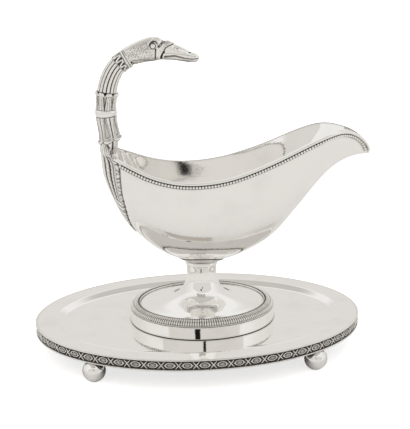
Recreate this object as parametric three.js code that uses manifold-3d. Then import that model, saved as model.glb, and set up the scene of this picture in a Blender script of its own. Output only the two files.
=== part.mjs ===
// Helmet sauce boat in silver on its oval tray, in millimetres, Z up.
// +X points to the pouring lip, the swan's-neck handle stands at -X, the floor is z = 0.
import * as THREE from 'three';
import { mergeVertices } from 'three/addons/utils/BufferGeometryUtils.js';
import Module from 'manifold-3d';

const wasm = await Module();
wasm.setup();

// Driving dimensions of the tray
const trayX = -4.1;
const traySemiX = 127.5;
const traySemiY = 93.1;
const trayTop = 24.5;
const trayGauge = 1.4;
const wellDepth = 3.2;
const marliWidth = 15;
const stepWidth = 5;
const bandHeight = 8.4;
const bandGauge = 1.5;
const traySides = 56;

// Driving dimensions of the ball feet
const ballRadius = 8.6;
const ballFlat = 0.15;
const ballX = 82.6;
const ballY = 64.0;
const neckRadius = 3.4;

// Driving dimensions of the boat's foot
const boatX = -0.5;
const plinthSemiX = 56.8;
const plinthSemiY = 49.4;
const plinthHeight = 9.6;
const plinthGauge = 1.6;
const borderHeight = 4.2;
const borderWidth = 8.2;
const footGauge = 1.3;
const stemRadius = 11.8;
const stemTop = 66;
const footSides = 44;

// Driving dimensions of the bowl and its rim
const bowlGauge = 1.3;
const bowlColumns = 36;
const bowlRows = 7;
const bareColumns = 3;
const lipStart = bareColumns / bowlColumns;
const beadStart = 0.112;
const lipWidth = 1.7;
const lipHeight = 1.6;
const beadRadius = 1.1;
const beadPitch = 2.3;
const rimSeat = 0.45;

// Driving dimensions of the handle
const neckReeds = 15;
const calyxLeaves = 6;
const calyxTurn = (-5 * Math.PI) / 12;
const cupLeaves = 8;
const cupTurn = (-9 * Math.PI) / 16;
const tipCurl = 0.8;
const sprayColumns = 8;
const sprayLift = 0.5;
const sprayGauge = 0.9;
const ribHeight = 0.3;
const fanAngle = 1.15;

// Clearance left where two separate pieces touch
const seam = 0.3;

const silver = { color: 0xd9d6d0, roughness: 0.16, metalness: 1 };
const castSilver = { color: 0xb9b4ab, roughness: 0.34, metalness: 1 };
const wellTop = trayTop - wellDepth;
const footBase = wellTop + seam;

const group = new THREE.Group();
const boat = new THREE.Group();
boat.position.x = boatX;
group.add(boat);

function addPiece(parent, name, geometry, look) {
  const mesh = new THREE.Mesh(geometry, new THREE.MeshStandardMaterial(look));
  mesh.name = name;
  parent.add(mesh);
  return mesh;
}

// A closed body from points and triangles, its faces turned outwards
function closedBody(points, triangles) {
  const raw = new THREE.BufferGeometry().setFromPoints(points);
  raw.setIndex(triangles);
  const merged = mergeVertices(raw, 1e-5);
  const place = merged.getAttribute('position');
  const corner = (i) => new THREE.Vector3().fromBufferAttribute(place, i);
  const kept = [];
  let volume = 0;
  for (let i = 0; i < merged.index.count; i += 3) {
    const [a, b, c] = [0, 1, 2].map((k) => merged.index.getX(i + k));
    if (a !== b && b !== c && a !== c) {
      kept.push(a, b, c);
      volume += corner(a).dot(corner(b).cross(corner(c)));
    }
  }
  merged.setIndex(volume < 0 ? kept.reverse() : kept);
  merged.computeVertexNormals();
  return merged;
}

// Rings of equal length joined one to the next, closed at both ends or round on themselves
function skin(rings, loop = false) {
  const count = rings[0].length;
  const points = rings.flat();
  const triangles = [];
  const spans = loop ? rings.length : rings.length - 1;
  for (let r = 0; r < spans; r += 1) {
    const here = r * count;
    const next = ((r + 1) % rings.length) * count;
    for (let k = 0; k < count; k += 1) {
      const after = (k + 1) % count;
      triangles.push(here + k, here + after, next + k);
      triangles.push(here + after, next + after, next + k);
    }
  }
  if (!loop) {
    capRing(points, triangles, 0, count, true);
    capRing(points, triangles, (rings.length - 1) * count, count, false);
  }
  return closedBody(points, triangles);
}

function capRing(points, triangles, first, count, facesBack) {
  const middle = new THREE.Vector3();
  for (let k = 0; k < count; k += 1) middle.add(points[first + k]);
  points.push(middle.divideScalar(count));
  for (let k = 0; k < count; k += 1) {
    const a = first + k;
    const b = first + ((k + 1) % count);
    const tip = points.length - 1;
    triangles.push(...(facesBack ? [b, a, tip] : [a, b, tip]));
  }
}

// One level ring of an oval
function oval(semiX, semiY, z, sides) {
  const ring = [];
  for (let k = 0; k < sides; k += 1) {
    const turn = (k / sides) * 2 * Math.PI;
    ring.push(new THREE.Vector3(semiX * Math.cos(turn), semiY * Math.sin(turn), z));
  }
  return ring;
}

// An oval solid or ring from pairs of inset from the edge and height
function ovalTurning(semiX, semiY, profile, sides, loop) {
  return skin(profile.map(([inset, z]) => oval(semiX - inset, semiY - inset, z, sides)), loop);
}

// Tray
function trayPlate() {
  const outer = bandGauge + seam;
  const well = marliWidth + stepWidth;
  return ovalTurning(traySemiX, traySemiY, [
    [well + 1.5, wellTop],
    [well, wellTop + 0.2],
    [marliWidth + 1.2, trayTop - 0.5],
    [marliWidth, trayTop - 0.1],
    [marliWidth - 2, trayTop - 0.3],
    [outer, trayTop - 0.2],
    [outer, trayTop - 0.2 - trayGauge],
    [marliWidth + 0.4, trayTop - 0.4 - trayGauge],
    [well + 0.8, wellTop - trayGauge],
  ], traySides, false);
}

// Upright frieze band round the tray, with a sunk field between two plain fillets
function trayFriezeBand() {
  const foot = trayTop - bandHeight;
  return ovalTurning(traySemiX, traySemiY, [
    [0.5, trayTop],
    [0, trayTop - 0.4],
    [0, trayTop - 1.2],
    [0.6, trayTop - 1.5],
    [0.6, foot + 1],
    [0.1, foot + 0.6],
    [0.3, foot],
    [bandGauge, foot],
    [bandGauge, trayTop - 0.1],
  ], traySides, true);
}

function ballFoot() {
  const profile = [new THREE.Vector2(0, 0)];
  const centre = ballRadius - ballFlat;
  const low = Math.acos(centre / ballRadius);
  const high = Math.PI - Math.asin(neckRadius / ballRadius);
  const steps = 8;
  for (let k = 0; k <= steps; k += 1) {
    const rise = low + ((high - low) * k) / steps;
    profile.push(new THREE.Vector2(ballRadius * Math.sin(rise), centre - ballRadius * Math.cos(rise)));
  }
  const seat = trayTop - 0.4 - trayGauge - seam;
  profile.push(new THREE.Vector2(neckRadius, seat));
  profile.push(new THREE.Vector2(0, seat));
  const turned = new THREE.LatheGeometry(profile, 14);
  turned.rotateX(Math.PI / 2);
  turned.deleteAttribute('normal');
  turned.deleteAttribute('uv');
  return closedBody(pointsOf(turned), Array.from(turned.index.array));
}

function pointsOf(geometry) {
  const place = geometry.getAttribute('position');
  return Array.from({ length: place.count }, (_, i) => new THREE.Vector3().fromBufferAttribute(place, i));
}

// Foot of the boat
function footPlinth() {
  const top = footBase + plinthHeight;
  return ovalTurning(plinthSemiX, plinthSemiY, [
    [0.3, footBase],
    [0, footBase + 0.4],
    [0.2, top - 0.4],
    [0.6, top],
    [borderWidth - 1, top],
    [borderWidth - 1, top - 1],
    [plinthGauge, top - plinthGauge],
    [plinthGauge, footBase],
  ], footSides, true);
}

// Half-round moulding that carries the tongue leaves
function footLeafBorder() {
  const base = footBase + plinthHeight + seam;
  const profile = [];
  const steps = 4;
  for (let k = 0; k <= steps; k += 1) {
    const turn = ((k / steps) * Math.PI) / 2;
    const inset = 1 + (borderWidth - 1.6) * (1 - Math.cos(turn));
    profile.push([inset, base + 0.4 + (borderHeight - 0.4) * Math.sin(turn)]);
  }
  profile.push([borderWidth, base + borderHeight - 0.3]);
  profile.push([borderWidth, base]);
  profile.push([1, base]);
  return ovalTurning(plinthSemiX, plinthSemiY, profile, footSides, true);
}

// Raised sheet of the foot: a shallow oval disc that sweeps up into the round stem
function footDome() {
  const edge = footBase + plinthHeight + borderHeight - 0.9;
  const sweep = [
    [plinthSemiX - borderWidth - seam, plinthSemiY - borderWidth - seam, edge],
    [43, 37.4, edge + 0.6],
    [34, 30, edge + 1.7],
    [26.5, 24, edge + 3.5],
    [20.6, 19.4, edge + 6.4],
    [16.4, 15.9, edge + 10.2],
    [13.6, 13.4, edge + 15],
    [12.1, 12, edge + 20.5],
    [stemRadius - 0.2, stemRadius - 0.2, edge + 25.5],
    [stemRadius + 0.1, stemRadius + 0.1, stemTop],
  ];
  const sides = 36;
  const last = sweep.length - 1;
  const outside = sweep.map(([a, b, z]) => oval(a, b, z, sides));
  const inside = [0, 2, 4, 6, last].map((k) => {
    const [a, b, z] = sweep[k];
    const inwards = k === 0 ? 0 : footGauge;
    const drop = k === last ? 0 : footGauge;
    return oval(a - inwards, b - inwards, z - drop, sides);
  });
  return skin([...outside, ...inside.reverse()], true);
}

// Bowl, drawn between its keel line and its rim, both run from the back to the pouring lip
const keel = new THREE.CatmullRomCurve3([
  [-72.5, 159.5], [-71.2, 147], [-67.5, 131], [-60.5, 112], [-50, 95.5], [-36, 82.6], [-18, 73], [0, 70],
  [17, 71.2], [35, 77.2], [54, 88.3], [73, 109], [91.6, 130], [105, 141.6], [119, 148], [131.5, 149.2],
].map(([x, z]) => new THREE.Vector3(x, 0, z)), false, 'centripetal');
const rim = new THREE.CatmullRomCurve3([
  [-72.5, 0, 159.5], [-71.6, 6, 159.2], [-68.2, 12.6, 158.2], [-61, 20.4, 155.2], [-50, 26.6, 150],
  [-38, 31, 144.8], [-20, 34.2, 140.4], [-2, 35.2, 139.6], [20, 34.2, 142.2], [50, 30.2, 151.6],
  [78, 26.6, 163.4], [92, 23.4, 168.6], [102, 17.6, 170.4], [110, 11, 169.7], [118, 6.4, 167.2],
  [125.5, 4, 162.2], [130.2, 2.8, 155.6], [131.5, 0, 149.2],
].map(([x, y, z]) => new THREE.Vector3(x, y, z)), false, 'centripetal');
keel.arcLengthDivisions = 600;
rim.arcLengthDivisions = 600;

// A point of the hull: along runs from back to lip, side from -1 (right rim) by 0 (keel) to 1 (left rim)
function hull(along, side) {
  const low = keel.getPointAt(along);
  const high = rim.getPointAt(along);
  const turn = (Math.abs(side) * Math.PI) / 2;
  const fullness = 2 + 0.75 * Math.sin(Math.PI * along) ** 2;
  const spread = Math.sin(turn) ** (2 / fullness);
  const climb = 1 - Math.cos(turn) ** (2 / fullness);
  return new THREE.Vector3(
    low.x + (high.x - low.x) * climb,
    Math.sign(side) * high.y * spread,
    low.z + (high.z - low.z) * climb,
  );
}

// Small step either way along the hull, to find which way it faces
const probe = 0.004;

function hullNormal(along, side) {
  const a = THREE.MathUtils.clamp(along, 1.5 * probe, 1 - 1.5 * probe);
  const forward = hull(a + probe, side).sub(hull(a - probe, side));
  const low = Math.max(side - probe, -1);
  const high = Math.min(side + probe, 1);
  const across = hull(a, high).sub(hull(a, low));
  return forward.cross(across).normalize().negate();
}

// Inner face of the wall; in the narrow lip its two sides are kept from crossing
function insideHull(along, side) {
  const outside = hull(along, side);
  const inside = outside.clone().addScaledVector(hullNormal(along, side), -bowlGauge);
  if (along > 0.5) {
    const least = 0.35 * Math.abs(outside.y);
    inside.y = Math.sign(side) * Math.max(Math.abs(inside.y), least);
  }
  return inside;
}

function bowlShell() {
  const rows = 2 * bowlRows + 1;
  const columns = bowlColumns + 1;
  const points = [];
  const triangles = [];
  for (const wall of [hull, insideHull]) {
    for (let i = 0; i < columns; i += 1) {
      for (let j = 0; j < rows; j += 1) {
        const end = i === 0 || i === columns - 1;
        points.push(wall(i / bowlColumns, end ? 0 : (j - bowlRows) / bowlRows));
      }
    }
  }
  const at = (wall, i, j) => wall * rows * columns + i * rows + j;
  for (let i = 0; i < bowlColumns; i += 1) {
    for (let j = 0; j < rows - 1; j += 1) {
      triangles.push(at(0, i, j), at(0, i, j + 1), at(0, i + 1, j + 1));
      triangles.push(at(0, i, j), at(0, i + 1, j + 1), at(0, i + 1, j));
      triangles.push(at(1, i, j), at(1, i + 1, j + 1), at(1, i, j + 1));
      triangles.push(at(1, i, j), at(1, i + 1, j), at(1, i + 1, j + 1));
    }
    for (const [j, flip] of [[0, false], [rows - 1, true]]) {
      const quad = [at(0, i, j), at(0, i + 1, j), at(1, i + 1, j), at(1, i, j)];
      if (flip) quad.reverse();
      triangles.push(quad[0], quad[1], quad[2], quad[0], quad[2], quad[3]);
    }
  }
  return closedBody(points, triangles);
}

// At the very tip the two sides meet on the keel, so the wall faces down and its edge forward
const tipUp = new THREE.Vector3(1, 0, 0.15);

const tipOut = new THREE.Vector3(0.2, 0, -1.5);
const nearRim = 0.985;

// Frame on the rim: a point on the wall's outside, the way out of the wall and the way up it
function rimFrame(turn, start) {
  const side = turn <= 0.5 ? 1 : -1;
  const along = start + (1 - start) * (1 - Math.abs(1 - 2 * turn));
  const point = hull(along, side);
  if (Math.abs(turn - 0.5) < 0.003) return { point, out: tipOut, up: tipUp };
  const a = Math.min(along, 1 - probe);
  const out = hullNormal(Math.min(along, 0.99), side * nearRim);
  const run = hull(a + probe, side).sub(hull(a - probe, side)).normalize();
  const up = run.cross(out).normalize().multiplyScalar(side);
  return { point, out, up };
}

// A section carried along the rim from one side of the handle round the lip to the other
function rimRings(start, steps, section) {
  return Array.from({ length: steps + 1 }, (_, k) => {
    const { point, out, up } = rimFrame(k / steps, start);
    const place = ([away, rise]) => point.clone().addScaledVector(out, away).addScaledVector(up, rise);
    return section(k).map(place);
  });
}

function rimLip() {
  const edge = lipWidth + rimSeat;
  const section = [
    [rimSeat, -0.1], [rimSeat + lipWidth / 2, 0.3], [edge, 0],
    [edge + 0.2, -lipHeight / 2], [edge, -lipHeight], [rimSeat, -lipHeight],
  ];
  return skin(rimRings(lipStart, 2 * (bowlColumns - bareColumns), () => section));
}

// Beaded wire: one string whose section swells at every bead
function rimBeads() {
  const beads = Math.round((2 * rim.getLength() * (1 - beadStart)) / beadPitch);
  const drop = -(lipHeight + seam + beadRadius);
  const middle = rimSeat + beadRadius;
  return skin(rimRings(beadStart, 2 * beads, (k) => {
    const r = beadRadius * (k % 2 === 1 ? 1 : 0.55);
    return [[middle + r, drop], [middle - r * 0.8, drop + r], [middle - r * 0.8, drop - r]];
  }));
}

// Where a ray meets a piece, with the face's way out
function meet(mesh, from, way) {
  mesh.updateMatrixWorld();
  const [hit] = new THREE.Raycaster(from, way).intersectObject(mesh);
  return hit;
}

// Collar under the bowl: it opens to a thin edge cut to the bowl's underside
function stemCollar(bowl) {
  const sides = 30;
  const under = (radius, turn) => {
    const from = new THREE.Vector3(radius * Math.cos(turn), radius * Math.sin(turn), 0);
    return meet(bowl, from, new THREE.Vector3(0, 0, 1)).point.z - seam - 0.1;
  };
  const ring = (radius, level) => {
    const points = [];
    for (let k = 0; k < sides; k += 1) {
      const turn = (k / sides) * 2 * Math.PI + 0.01;
      points.push(new THREE.Vector3(radius * Math.cos(turn), radius * Math.sin(turn), level(radius, turn)));
    }
    return points;
  };
  const flat = (z) => () => z;
  const below = (depth) => (radius, turn) => under(radius, turn) - depth;
  const base = stemTop + seam;
  return skin([
    ring(stemRadius - 2, flat(base)),
    ring(stemRadius + 0.6, flat(base)),
    ring(stemRadius + 0.9, flat(base + 1)),
    ring(stemRadius + 0.9, flat(base + 1.7)),
    ring(stemRadius + 2.2, below(2.1)),
    ring(stemRadius + 6.4, below(1)),
    ring(stemRadius + 6.8, below(0.3)),
    ring(stemRadius + 6.4, below(0.1)),
    ring(stemRadius + 4.2, below(0.1)),
    ring(stemRadius + 2, below(0.1)),
    ring(stemRadius - 1, below(0.2)),
    ring(6.5, below(0.6)),
  ]);
}

// Handle: pieces strung on one path that rises from the rim and bends over the bowl
const handlePath = new THREE.CatmullRomCurve3([
  [-68, 154.5], [-67.7, 160], [-67.3, 165], [-67.6, 170], [-68.4, 176], [-69.3, 183], [-69.5, 190],
  [-69, 197], [-68.3, 203], [-67.2, 208.5], [-65.4, 213.6], [-63, 218.4], [-60.2, 222.2], [-56.9, 225.1],
  [-53.9, 226.9], [-50.5, 228.8],
].map(([x, z]) => new THREE.Vector3(x, 0, z)), false, 'centripetal');

// Stops along the handle path, as heights in millimetres of path from its foot
const stops = {
  root: 1.5, calyx: 10.9, rootTop: 16.9, band: 31, cup: 36.1, neckFoot: 45, cupMouth: 49.6, scroll: 71.6,
  ring: 77.2, head: 79.2,
};

// A ring square to the handle path: reach and slip are given for each turn round it
function handleRing(distance, sides, reach, slip = () => 0) {
  const at = distance / handlePath.getLength();
  const middle = handlePath.getPointAt(at);
  const ahead = handlePath.getTangentAt(at);
  const lift = new THREE.Vector3(-ahead.z, 0, ahead.x);
  const across = new THREE.Vector3(0, 1, 0);
  return Array.from({ length: sides }, (_, k) => {
    const turn = (k / sides) * 2 * Math.PI;
    return middle.clone()
      .addScaledVector(lift, reach(turn) * Math.cos(turn))
      .addScaledVector(across, reach(turn) * Math.sin(turn))
      .addScaledVector(ahead, slip(turn));
  });
}

// Lengths of path turned to a piece: radius takes the turn round it and the share of its length
function strung(from, to, steps, sides, radius) {
  return skin(Array.from({ length: steps + 1 }, (_, i) => {
    const share = i / steps;
    return handleRing(from + (to - from) * share, sides, (turn) => radius(turn, share));
  }));
}

const lobe = (turn, count) => Math.abs(Math.cos((count * turn) / 2));

// Root of the handle: it stands on the back of the rim, cut to the bowl's wall, and widens upwards
function handleStalk() {
  const blank = strung(stops.root, stops.rootTop, 6, 24, (turn, share) => {
    const cove = 4.4 + 1.2 * Math.min(share / 0.55, 1) ** 1.2;
    return cove * (0.95 + 0.05 * lobe(turn, calyxLeaves));
  });
  return cutFrom(blank, hullSolid(0.4));
}

// The bowl filled to its rim and grown by a clearance
function hullSolid(clearance) {
  const rings = [];
  for (let i = 0; i <= bowlColumns; i += 1) {
    const ring = [];
    for (let j = -bowlRows; j <= bowlRows; j += 1) {
      const along = i / bowlColumns;
      const side = i === 0 || i === bowlColumns ? 0 : j / bowlRows;
      const point = hull(along, side).addScaledVector(hullNormal(along, side), clearance);
      if (Math.abs(j) === bowlRows || side === 0) point.z += 2 * clearance;
      ring.push(point);
    }
    rings.push(ring);
  }
  return skin(rings);
}

function asManifold(geometry) {
  const bare = new THREE.BufferGeometry();
  bare.setAttribute('position', geometry.getAttribute('position'));
  bare.setIndex(geometry.index);
  const merged = mergeVertices(bare, 1e-5);
  return new wasm.Manifold(new wasm.Mesh({
    numProp: 3,
    vertProperties: new Float32Array(merged.getAttribute('position').array),
    triVerts: new Uint32Array(merged.index.array),
  }));
}

function cutFrom(blank, tool) {
  const cut = asManifold(blank).subtract(asManifold(tool)).getMesh();
  const corners = new THREE.BufferAttribute(cut.vertProperties, 3);
  const corner = (_, i) => new THREE.Vector3().fromBufferAttribute(corners, i);
  const points = Array.from({ length: corners.count }, corner);
  return closedBody(points, Array.from(cut.triVerts));
}

// Leaves that open downwards from the band, their tips curled out
function lowerCalyx() {
  return leafCup(stops.band - seam, stops.calyx, [7.9, 9.3], calyxLeaves, calyxTurn);
}

// Leaves that open upwards round the foot of the neck
function upperCup() {
  return leafCup(stops.cup + seam, stops.cupMouth, [7.8, 8.9], cupLeaves, cupTurn);
}

// A cup of leaves: solid at its root, open at its mouth, with notches between the curled tips
function leafCup(root, mouth, [rootRadius, tipRadius], leaves, firstLeaf) {
  const way = Math.sign(mouth - root);
  const leaf = (turn) => lobe(turn - firstLeaf, leaves);
  const wall = (share) => (turn) => {
    const waist = rootRadius + (tipRadius - rootRadius) * share ** 2 - 0.5 * Math.sin(Math.PI * share);
    return waist - (1 - leaf(turn)) * (0.3 + 0.7 * share);
  };
  const notch = (turn) => -1.8 * way * (1 - leaf(turn));
  const ring = (share, reach, slip) => handleRing(root + (mouth - root) * share, leaves * 4, reach, slip);
  const lip = wall(0.84);
  return skin([
    ring(0, wall(0)),
    ring(0.35, wall(0.35)),
    ring(0.7, wall(0.7)),
    ring(0.84, lip),
    ring(0.94, (turn) => lip(turn) + tipCurl * leaf(turn), notch),
    ring(1, (turn) => lip(turn) + 0.6 * tipCurl * leaf(turn), notch),
    ring(0.97, (turn) => lip(turn) - 0.9, notch),
    ring(0.6, () => 7.05),
    ring(0.55, () => 6.9),
  ]);
}

function plainBand(from, to, reach, ends) {
  return strung(from, to, 4, 24, (turn, share) => ends + (reach - ends) * Math.sin(Math.PI * share) ** 0.4);
}

// Reeded neck, with a plain spigot at its foot that stands in the upper cup
function flutedNeck() {
  return strung(stops.neckFoot, stops.scroll - seam, 7, neckReeds * 4, (turn, share) => {
    if (share < 0.25) return 6.2 + 0.1 * lobe(turn, neckReeds);
    return 7.7 - 1.2 * share - 0.75 * (1 - lobe(turn, neckReeds));
  });
}

function scrollCollar() {
  return strung(stops.scroll, stops.ring - seam, 3, 24, (turn, share) => 6.7 + 0.6 * share);
}

// Swan's head and beak: sections from crown to throat, each an oval of its own width
function swanHead() {
  const sections = [
    [-55.6, 234.9, -48.4, 223, 6.9],
    [-50.5, 237.6, -43.8, 223.9, 7.4],
    [-43, 240.9, -38.3, 224.9, 7.6],
    [-35.5, 243, -33.5, 225.3, 7.2],
    [-29, 242.8, -29.5, 225.8, 6.4],
    [-25.2, 240.3, -26, 226.1, 5.6],
    [-21.2, 240.2, -22.5, 226, 5.3],
    [-17.5, 237.8, -18.5, 225.7, 5.1],
    [-11.6, 235, -11.8, 224.5, 4.8],
    [-5.6, 231.6, -5.7, 223.6, 4.1],
    [-0.8, 229.5, -1, 223.7, 2.9],
    [1.2, 227.6, 0.8, 225.3, 1.5],
  ];
  const sides = 20;
  return skin(sections.map(([crownX, crownZ, throatX, throatZ, halfWidth]) => {
    const middle = new THREE.Vector3((crownX + throatX) / 2, 0, (crownZ + throatZ) / 2);
    const rise = new THREE.Vector3((crownX - throatX) / 2, 0, (crownZ - throatZ) / 2);
    return Array.from({ length: sides }, (_, k) => {
      const turn = (k / sides) * 2 * Math.PI;
      const wide = Math.sign(Math.sin(turn)) * Math.abs(Math.sin(turn)) ** 0.85;
      const point = middle.clone().addScaledVector(rise, Math.cos(turn));
      point.y += halfWidth * wide;
      return point;
    });
  }));
}

// Rows of the leaf spray down the bowl's back: height, half width and how far its middle swells
const sprayRows = [
  [157, 14.5, 1.2], [154, 18.3, 1.5], [150.5, 20.3, 1.9], [146, 20.9, 2.2], [141, 21, 2.4], [136, 20.6, 2],
  [131, 19.9, 1.7], [126, 19, 1.4], [121, 18, 1.1], [116, 16.6, 0.9], [111, 14.4, 0.8], [106, 11.3, 0.7],
  [101.5, 7.4, 0.6], [98, 4, 0.5], [94.5, 0.5, 0.4],
];

// Rows of its fan above the rim: height, and the centre and two reaches of an oval round the handle's root
const fanRows = [
  [165, -67.35, 5.95, 5.95], [161, -65, 8.1, 11.4], [159.2, -64.6, 8.4, 14.1],
];

// Leaf spray: a ribbed sheet that follows the bowl's back and folds over the rim to the handle
function bowlLeaf(bowl) {
  const shares = Array.from({ length: sprayColumns + 1 }, (_, j) => (2 * j) / sprayColumns - 1);
  const under = [];
  const over = [];
  const lay = (spot, out, height) => {
    under.push(spot);
    over.push(spot.clone().addScaledVector(out, height));
  };
  for (const [z, middleX, reachX, reachY] of fanRows) {
    for (const share of shares) {
      const out = new THREE.Vector3(-Math.cos(share * fanAngle), Math.sin(share * fanAngle), 0);
      lay(new THREE.Vector3(middleX + reachX * out.x, reachY * out.y, z), out, sprayGauge);
    }
  }
  for (const [z, reach, swell] of sprayRows) {
    shares.forEach((share, j) => {
      const hit = meet(bowl, new THREE.Vector3(-110, share * reach, z), new THREE.Vector3(1, 0, 0));
      const out = hit.face.normal.clone();
      out.z *= 0.3;
      out.normalize();
      const height = sprayGauge + swell * (1 - share ** 2) + ribHeight * (j % 2);
      lay(hit.point.addScaledVector(out, sprayLift), out, height);
    });
  }
  return sheet(under, over, fanRows.length + sprayRows.length - 1, sprayColumns);
}

// Two like grids of points closed round their edges
function sheet(under, over, rows, columns) {
  const wide = columns + 1;
  const points = [...under, ...over];
  const shift = under.length;
  const triangles = [];
  const quad = (a, b, c, d) => triangles.push(a, b, c, a, c, d);
  for (let i = 0; i < rows; i += 1) {
    for (let j = 0; j < columns; j += 1) {
      const a = i * wide + j;
      quad(a, a + 1, a + wide + 1, a + wide);
      quad(shift + a, shift + a + wide, shift + a + wide + 1, shift + a + 1);
    }
    const left = i * wide;
    const right = left + columns;
    quad(left, left + wide, shift + left + wide, shift + left);
    quad(right + wide, right, shift + right, shift + right + wide);
  }
  for (let j = 0; j < columns; j += 1) {
    const last = rows * wide + j;
    quad(j + 1, j, shift + j, shift + j + 1);
    quad(last, last + 1, shift + last + 1, shift + last);
  }
  return closedBody(points, triangles);
}

const tray = new THREE.Group();
tray.position.x = trayX;
group.add(tray);
addPiece(tray, 'tray_plate', trayPlate(), silver);
addPiece(tray, 'tray_frieze_band', trayFriezeBand(), castSilver);
for (const [end, x] of [['spout', ballX], ['handle', -ballX]]) {
  for (const [side, y] of [['left', ballY], ['right', -ballY]]) {
    addPiece(tray, `ball_foot_${end}_${side}`, ballFoot(), silver).position.set(x, y, 0);
  }
}

addPiece(boat, 'foot_plinth', footPlinth(), silver);
addPiece(boat, 'foot_leaf_border', footLeafBorder(), castSilver);
addPiece(boat, 'foot_dome', footDome(), silver);
const bowl = new THREE.Mesh(bowlShell());
addPiece(boat, 'stem_collar', stemCollar(bowl), silver);
addPiece(boat, 'bowl_shell', bowl.geometry, silver);
addPiece(boat, 'rim_lip', rimLip(), silver);
addPiece(boat, 'rim_beads', rimBeads(), silver);
addPiece(boat, 'bowl_leaf', bowlLeaf(bowl), castSilver);
addPiece(boat, 'handle_stalk', handleStalk(), castSilver);
addPiece(boat, 'lower_leaf_calyx', lowerCalyx(), castSilver);
addPiece(boat, 'handle_band', plainBand(stops.band, stops.cup, 8.3, 7.4), silver);
addPiece(boat, 'upper_leaf_cup', upperCup(), castSilver);
addPiece(boat, 'fluted_neck', flutedNeck(), silver);
addPiece(boat, 'scroll_collar', scrollCollar(), castSilver);
addPiece(boat, 'neck_ring', plainBand(stops.ring, stops.head - seam, 8, 7.2), silver);
addPiece(boat, 'swan_head', swanHead(), castSilver);

export default group;
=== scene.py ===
import math

import bmesh
import bpy
import numpy as np
from mathutils import Matrix, Vector
from mathutils.bvhtree import BVHTree


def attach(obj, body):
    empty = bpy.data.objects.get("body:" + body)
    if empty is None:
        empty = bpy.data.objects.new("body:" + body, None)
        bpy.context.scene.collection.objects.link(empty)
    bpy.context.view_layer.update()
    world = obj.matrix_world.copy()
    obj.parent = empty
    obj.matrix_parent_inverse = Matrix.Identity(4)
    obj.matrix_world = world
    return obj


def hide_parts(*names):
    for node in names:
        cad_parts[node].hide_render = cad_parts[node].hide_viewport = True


# Silver helmet sauce boat on its oval tray. Sizes are in millimetres here, and mm makes them metres.
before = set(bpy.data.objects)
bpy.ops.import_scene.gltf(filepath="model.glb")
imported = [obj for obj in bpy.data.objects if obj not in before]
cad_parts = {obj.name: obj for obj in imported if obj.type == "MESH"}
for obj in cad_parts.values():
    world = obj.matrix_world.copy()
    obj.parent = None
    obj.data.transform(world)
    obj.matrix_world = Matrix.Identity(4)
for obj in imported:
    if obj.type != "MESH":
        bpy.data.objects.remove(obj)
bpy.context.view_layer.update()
mm = 0.001
trayX = -4.1  # middle of the tray along the length
boatX = -0.5  # axis of the stem along the length
boatShift = np.array((boatX, 0, 0))
print("frame loaded")


# Objects and nodes
def addObject(name, data):
    item = bpy.data.objects.new(name, data)
    bpy.context.scene.collection.objects.link(item)
    return item


def addNode(tree, kind, fed=None, **settings):
    # fed gives an input its plain value, or the output that is linked to it
    node = tree.nodes.new(kind)
    for name, value in settings.items():
        setattr(node, name, value)
    for place, value in (fed or {}).items():
        if isinstance(value, bpy.types.NodeSocket):
            tree.links.new(value, node.inputs[place])
        else:
            node.inputs[place].default_value = value
    return node


def addMath(tree, operation, first, second, **settings):
    return addNode(tree, "ShaderNodeMath", {0: first, 1: second}, operation=operation, **settings).outputs[0]


def addMix(tree, factor, under, over):
    fed = {"Factor": factor, "A": under, "B": over}
    return addNode(tree, "ShaderNodeMix", fed, data_type="RGBA").outputs["Result"]


def addRange(tree, value, low, high, outLow=0.0, outHigh=1.0, style="LINEAR"):
    fed = {"Value": value, "From Min": low, "From Max": high, "To Min": outLow, "To Max": outHigh}
    return addNode(tree, "ShaderNodeMapRange", fed, interpolation_type=style).outputs["Result"]


def addNoise(tree, coords, scale, detail):
    fed = {"Vector": coords.outputs["Object"], "Scale": scale, "Detail": detail}
    return addNode(tree, "ShaderNodeTexNoise", fed).outputs["Fac"]


# Camera, floor and light
camera = {
    "place": (-72.9, -834.5, 354.3),
    "ahead": (0.08669, 0.95463, -0.28490),
    "roll": -0.93,
    "lens": 94.93,
}


def placeCamera(settings):
    data = bpy.data.cameras.new("studioCamera")
    data.lens = settings["lens"]
    data.sensor_width = 36
    data.clip_end = 40
    ahead = Vector(settings["ahead"]).normalized()
    right = ahead.cross(Vector((0, 0, 1))).normalized()
    up = right.cross(ahead)
    turn = Matrix((right, up, -ahead)).transposed()
    turn = turn @ Matrix.Rotation(math.radians(settings["roll"]), 3, "Z")
    holder = addObject("studioCamera", data)
    holder.matrix_world = Matrix.Translation(Vector(settings["place"]) * mm) @ turn.to_4x4()
    bpy.context.scene.camera = holder


light = {
    "behind": (0.745, 0.725, 0.70),
    "front": (0.88, 0.875, 0.865),
    "turning": 0.5,  # the front wall's tone goes over into the one behind within this much of the side
    "rising": [(0.44, 0.58, (0.87, 0.865, 0.85)), (0.70, 0.86, (0.56, 0.54, 0.515))],
    "door": {"tone": (0.70, 0.68, 0.655), "left": -2.3, "right": 1.55, "low": 0.02, "high": 0.78},
    "slit": {"tone": (0.01, 0.01, 0.01), "left": -0.24, "right": -0.10, "low": 0.42, "high": 0.60},
    "lens": {"tone": (0.012, 0.011, 0.01), "left": -0.035, "right": 0.03, "low": 0.26, "high": 0.40},
    "boom": {"tone": (0.47, 0.43, 0.39), "left": -0.75, "right": 0.30, "low": 0.95, "high": 1.75},
    "frontEdge": -0.05,
    "softEdge": 0.012,
    "floorTone": (0.96, 0.958, 0.95),
    "floorGlow": 0.70,
    "lamps": [("overheadSoftbox", (0, -150, 1300), (0, 0, 60), 1800, 3.0)],
}


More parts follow.
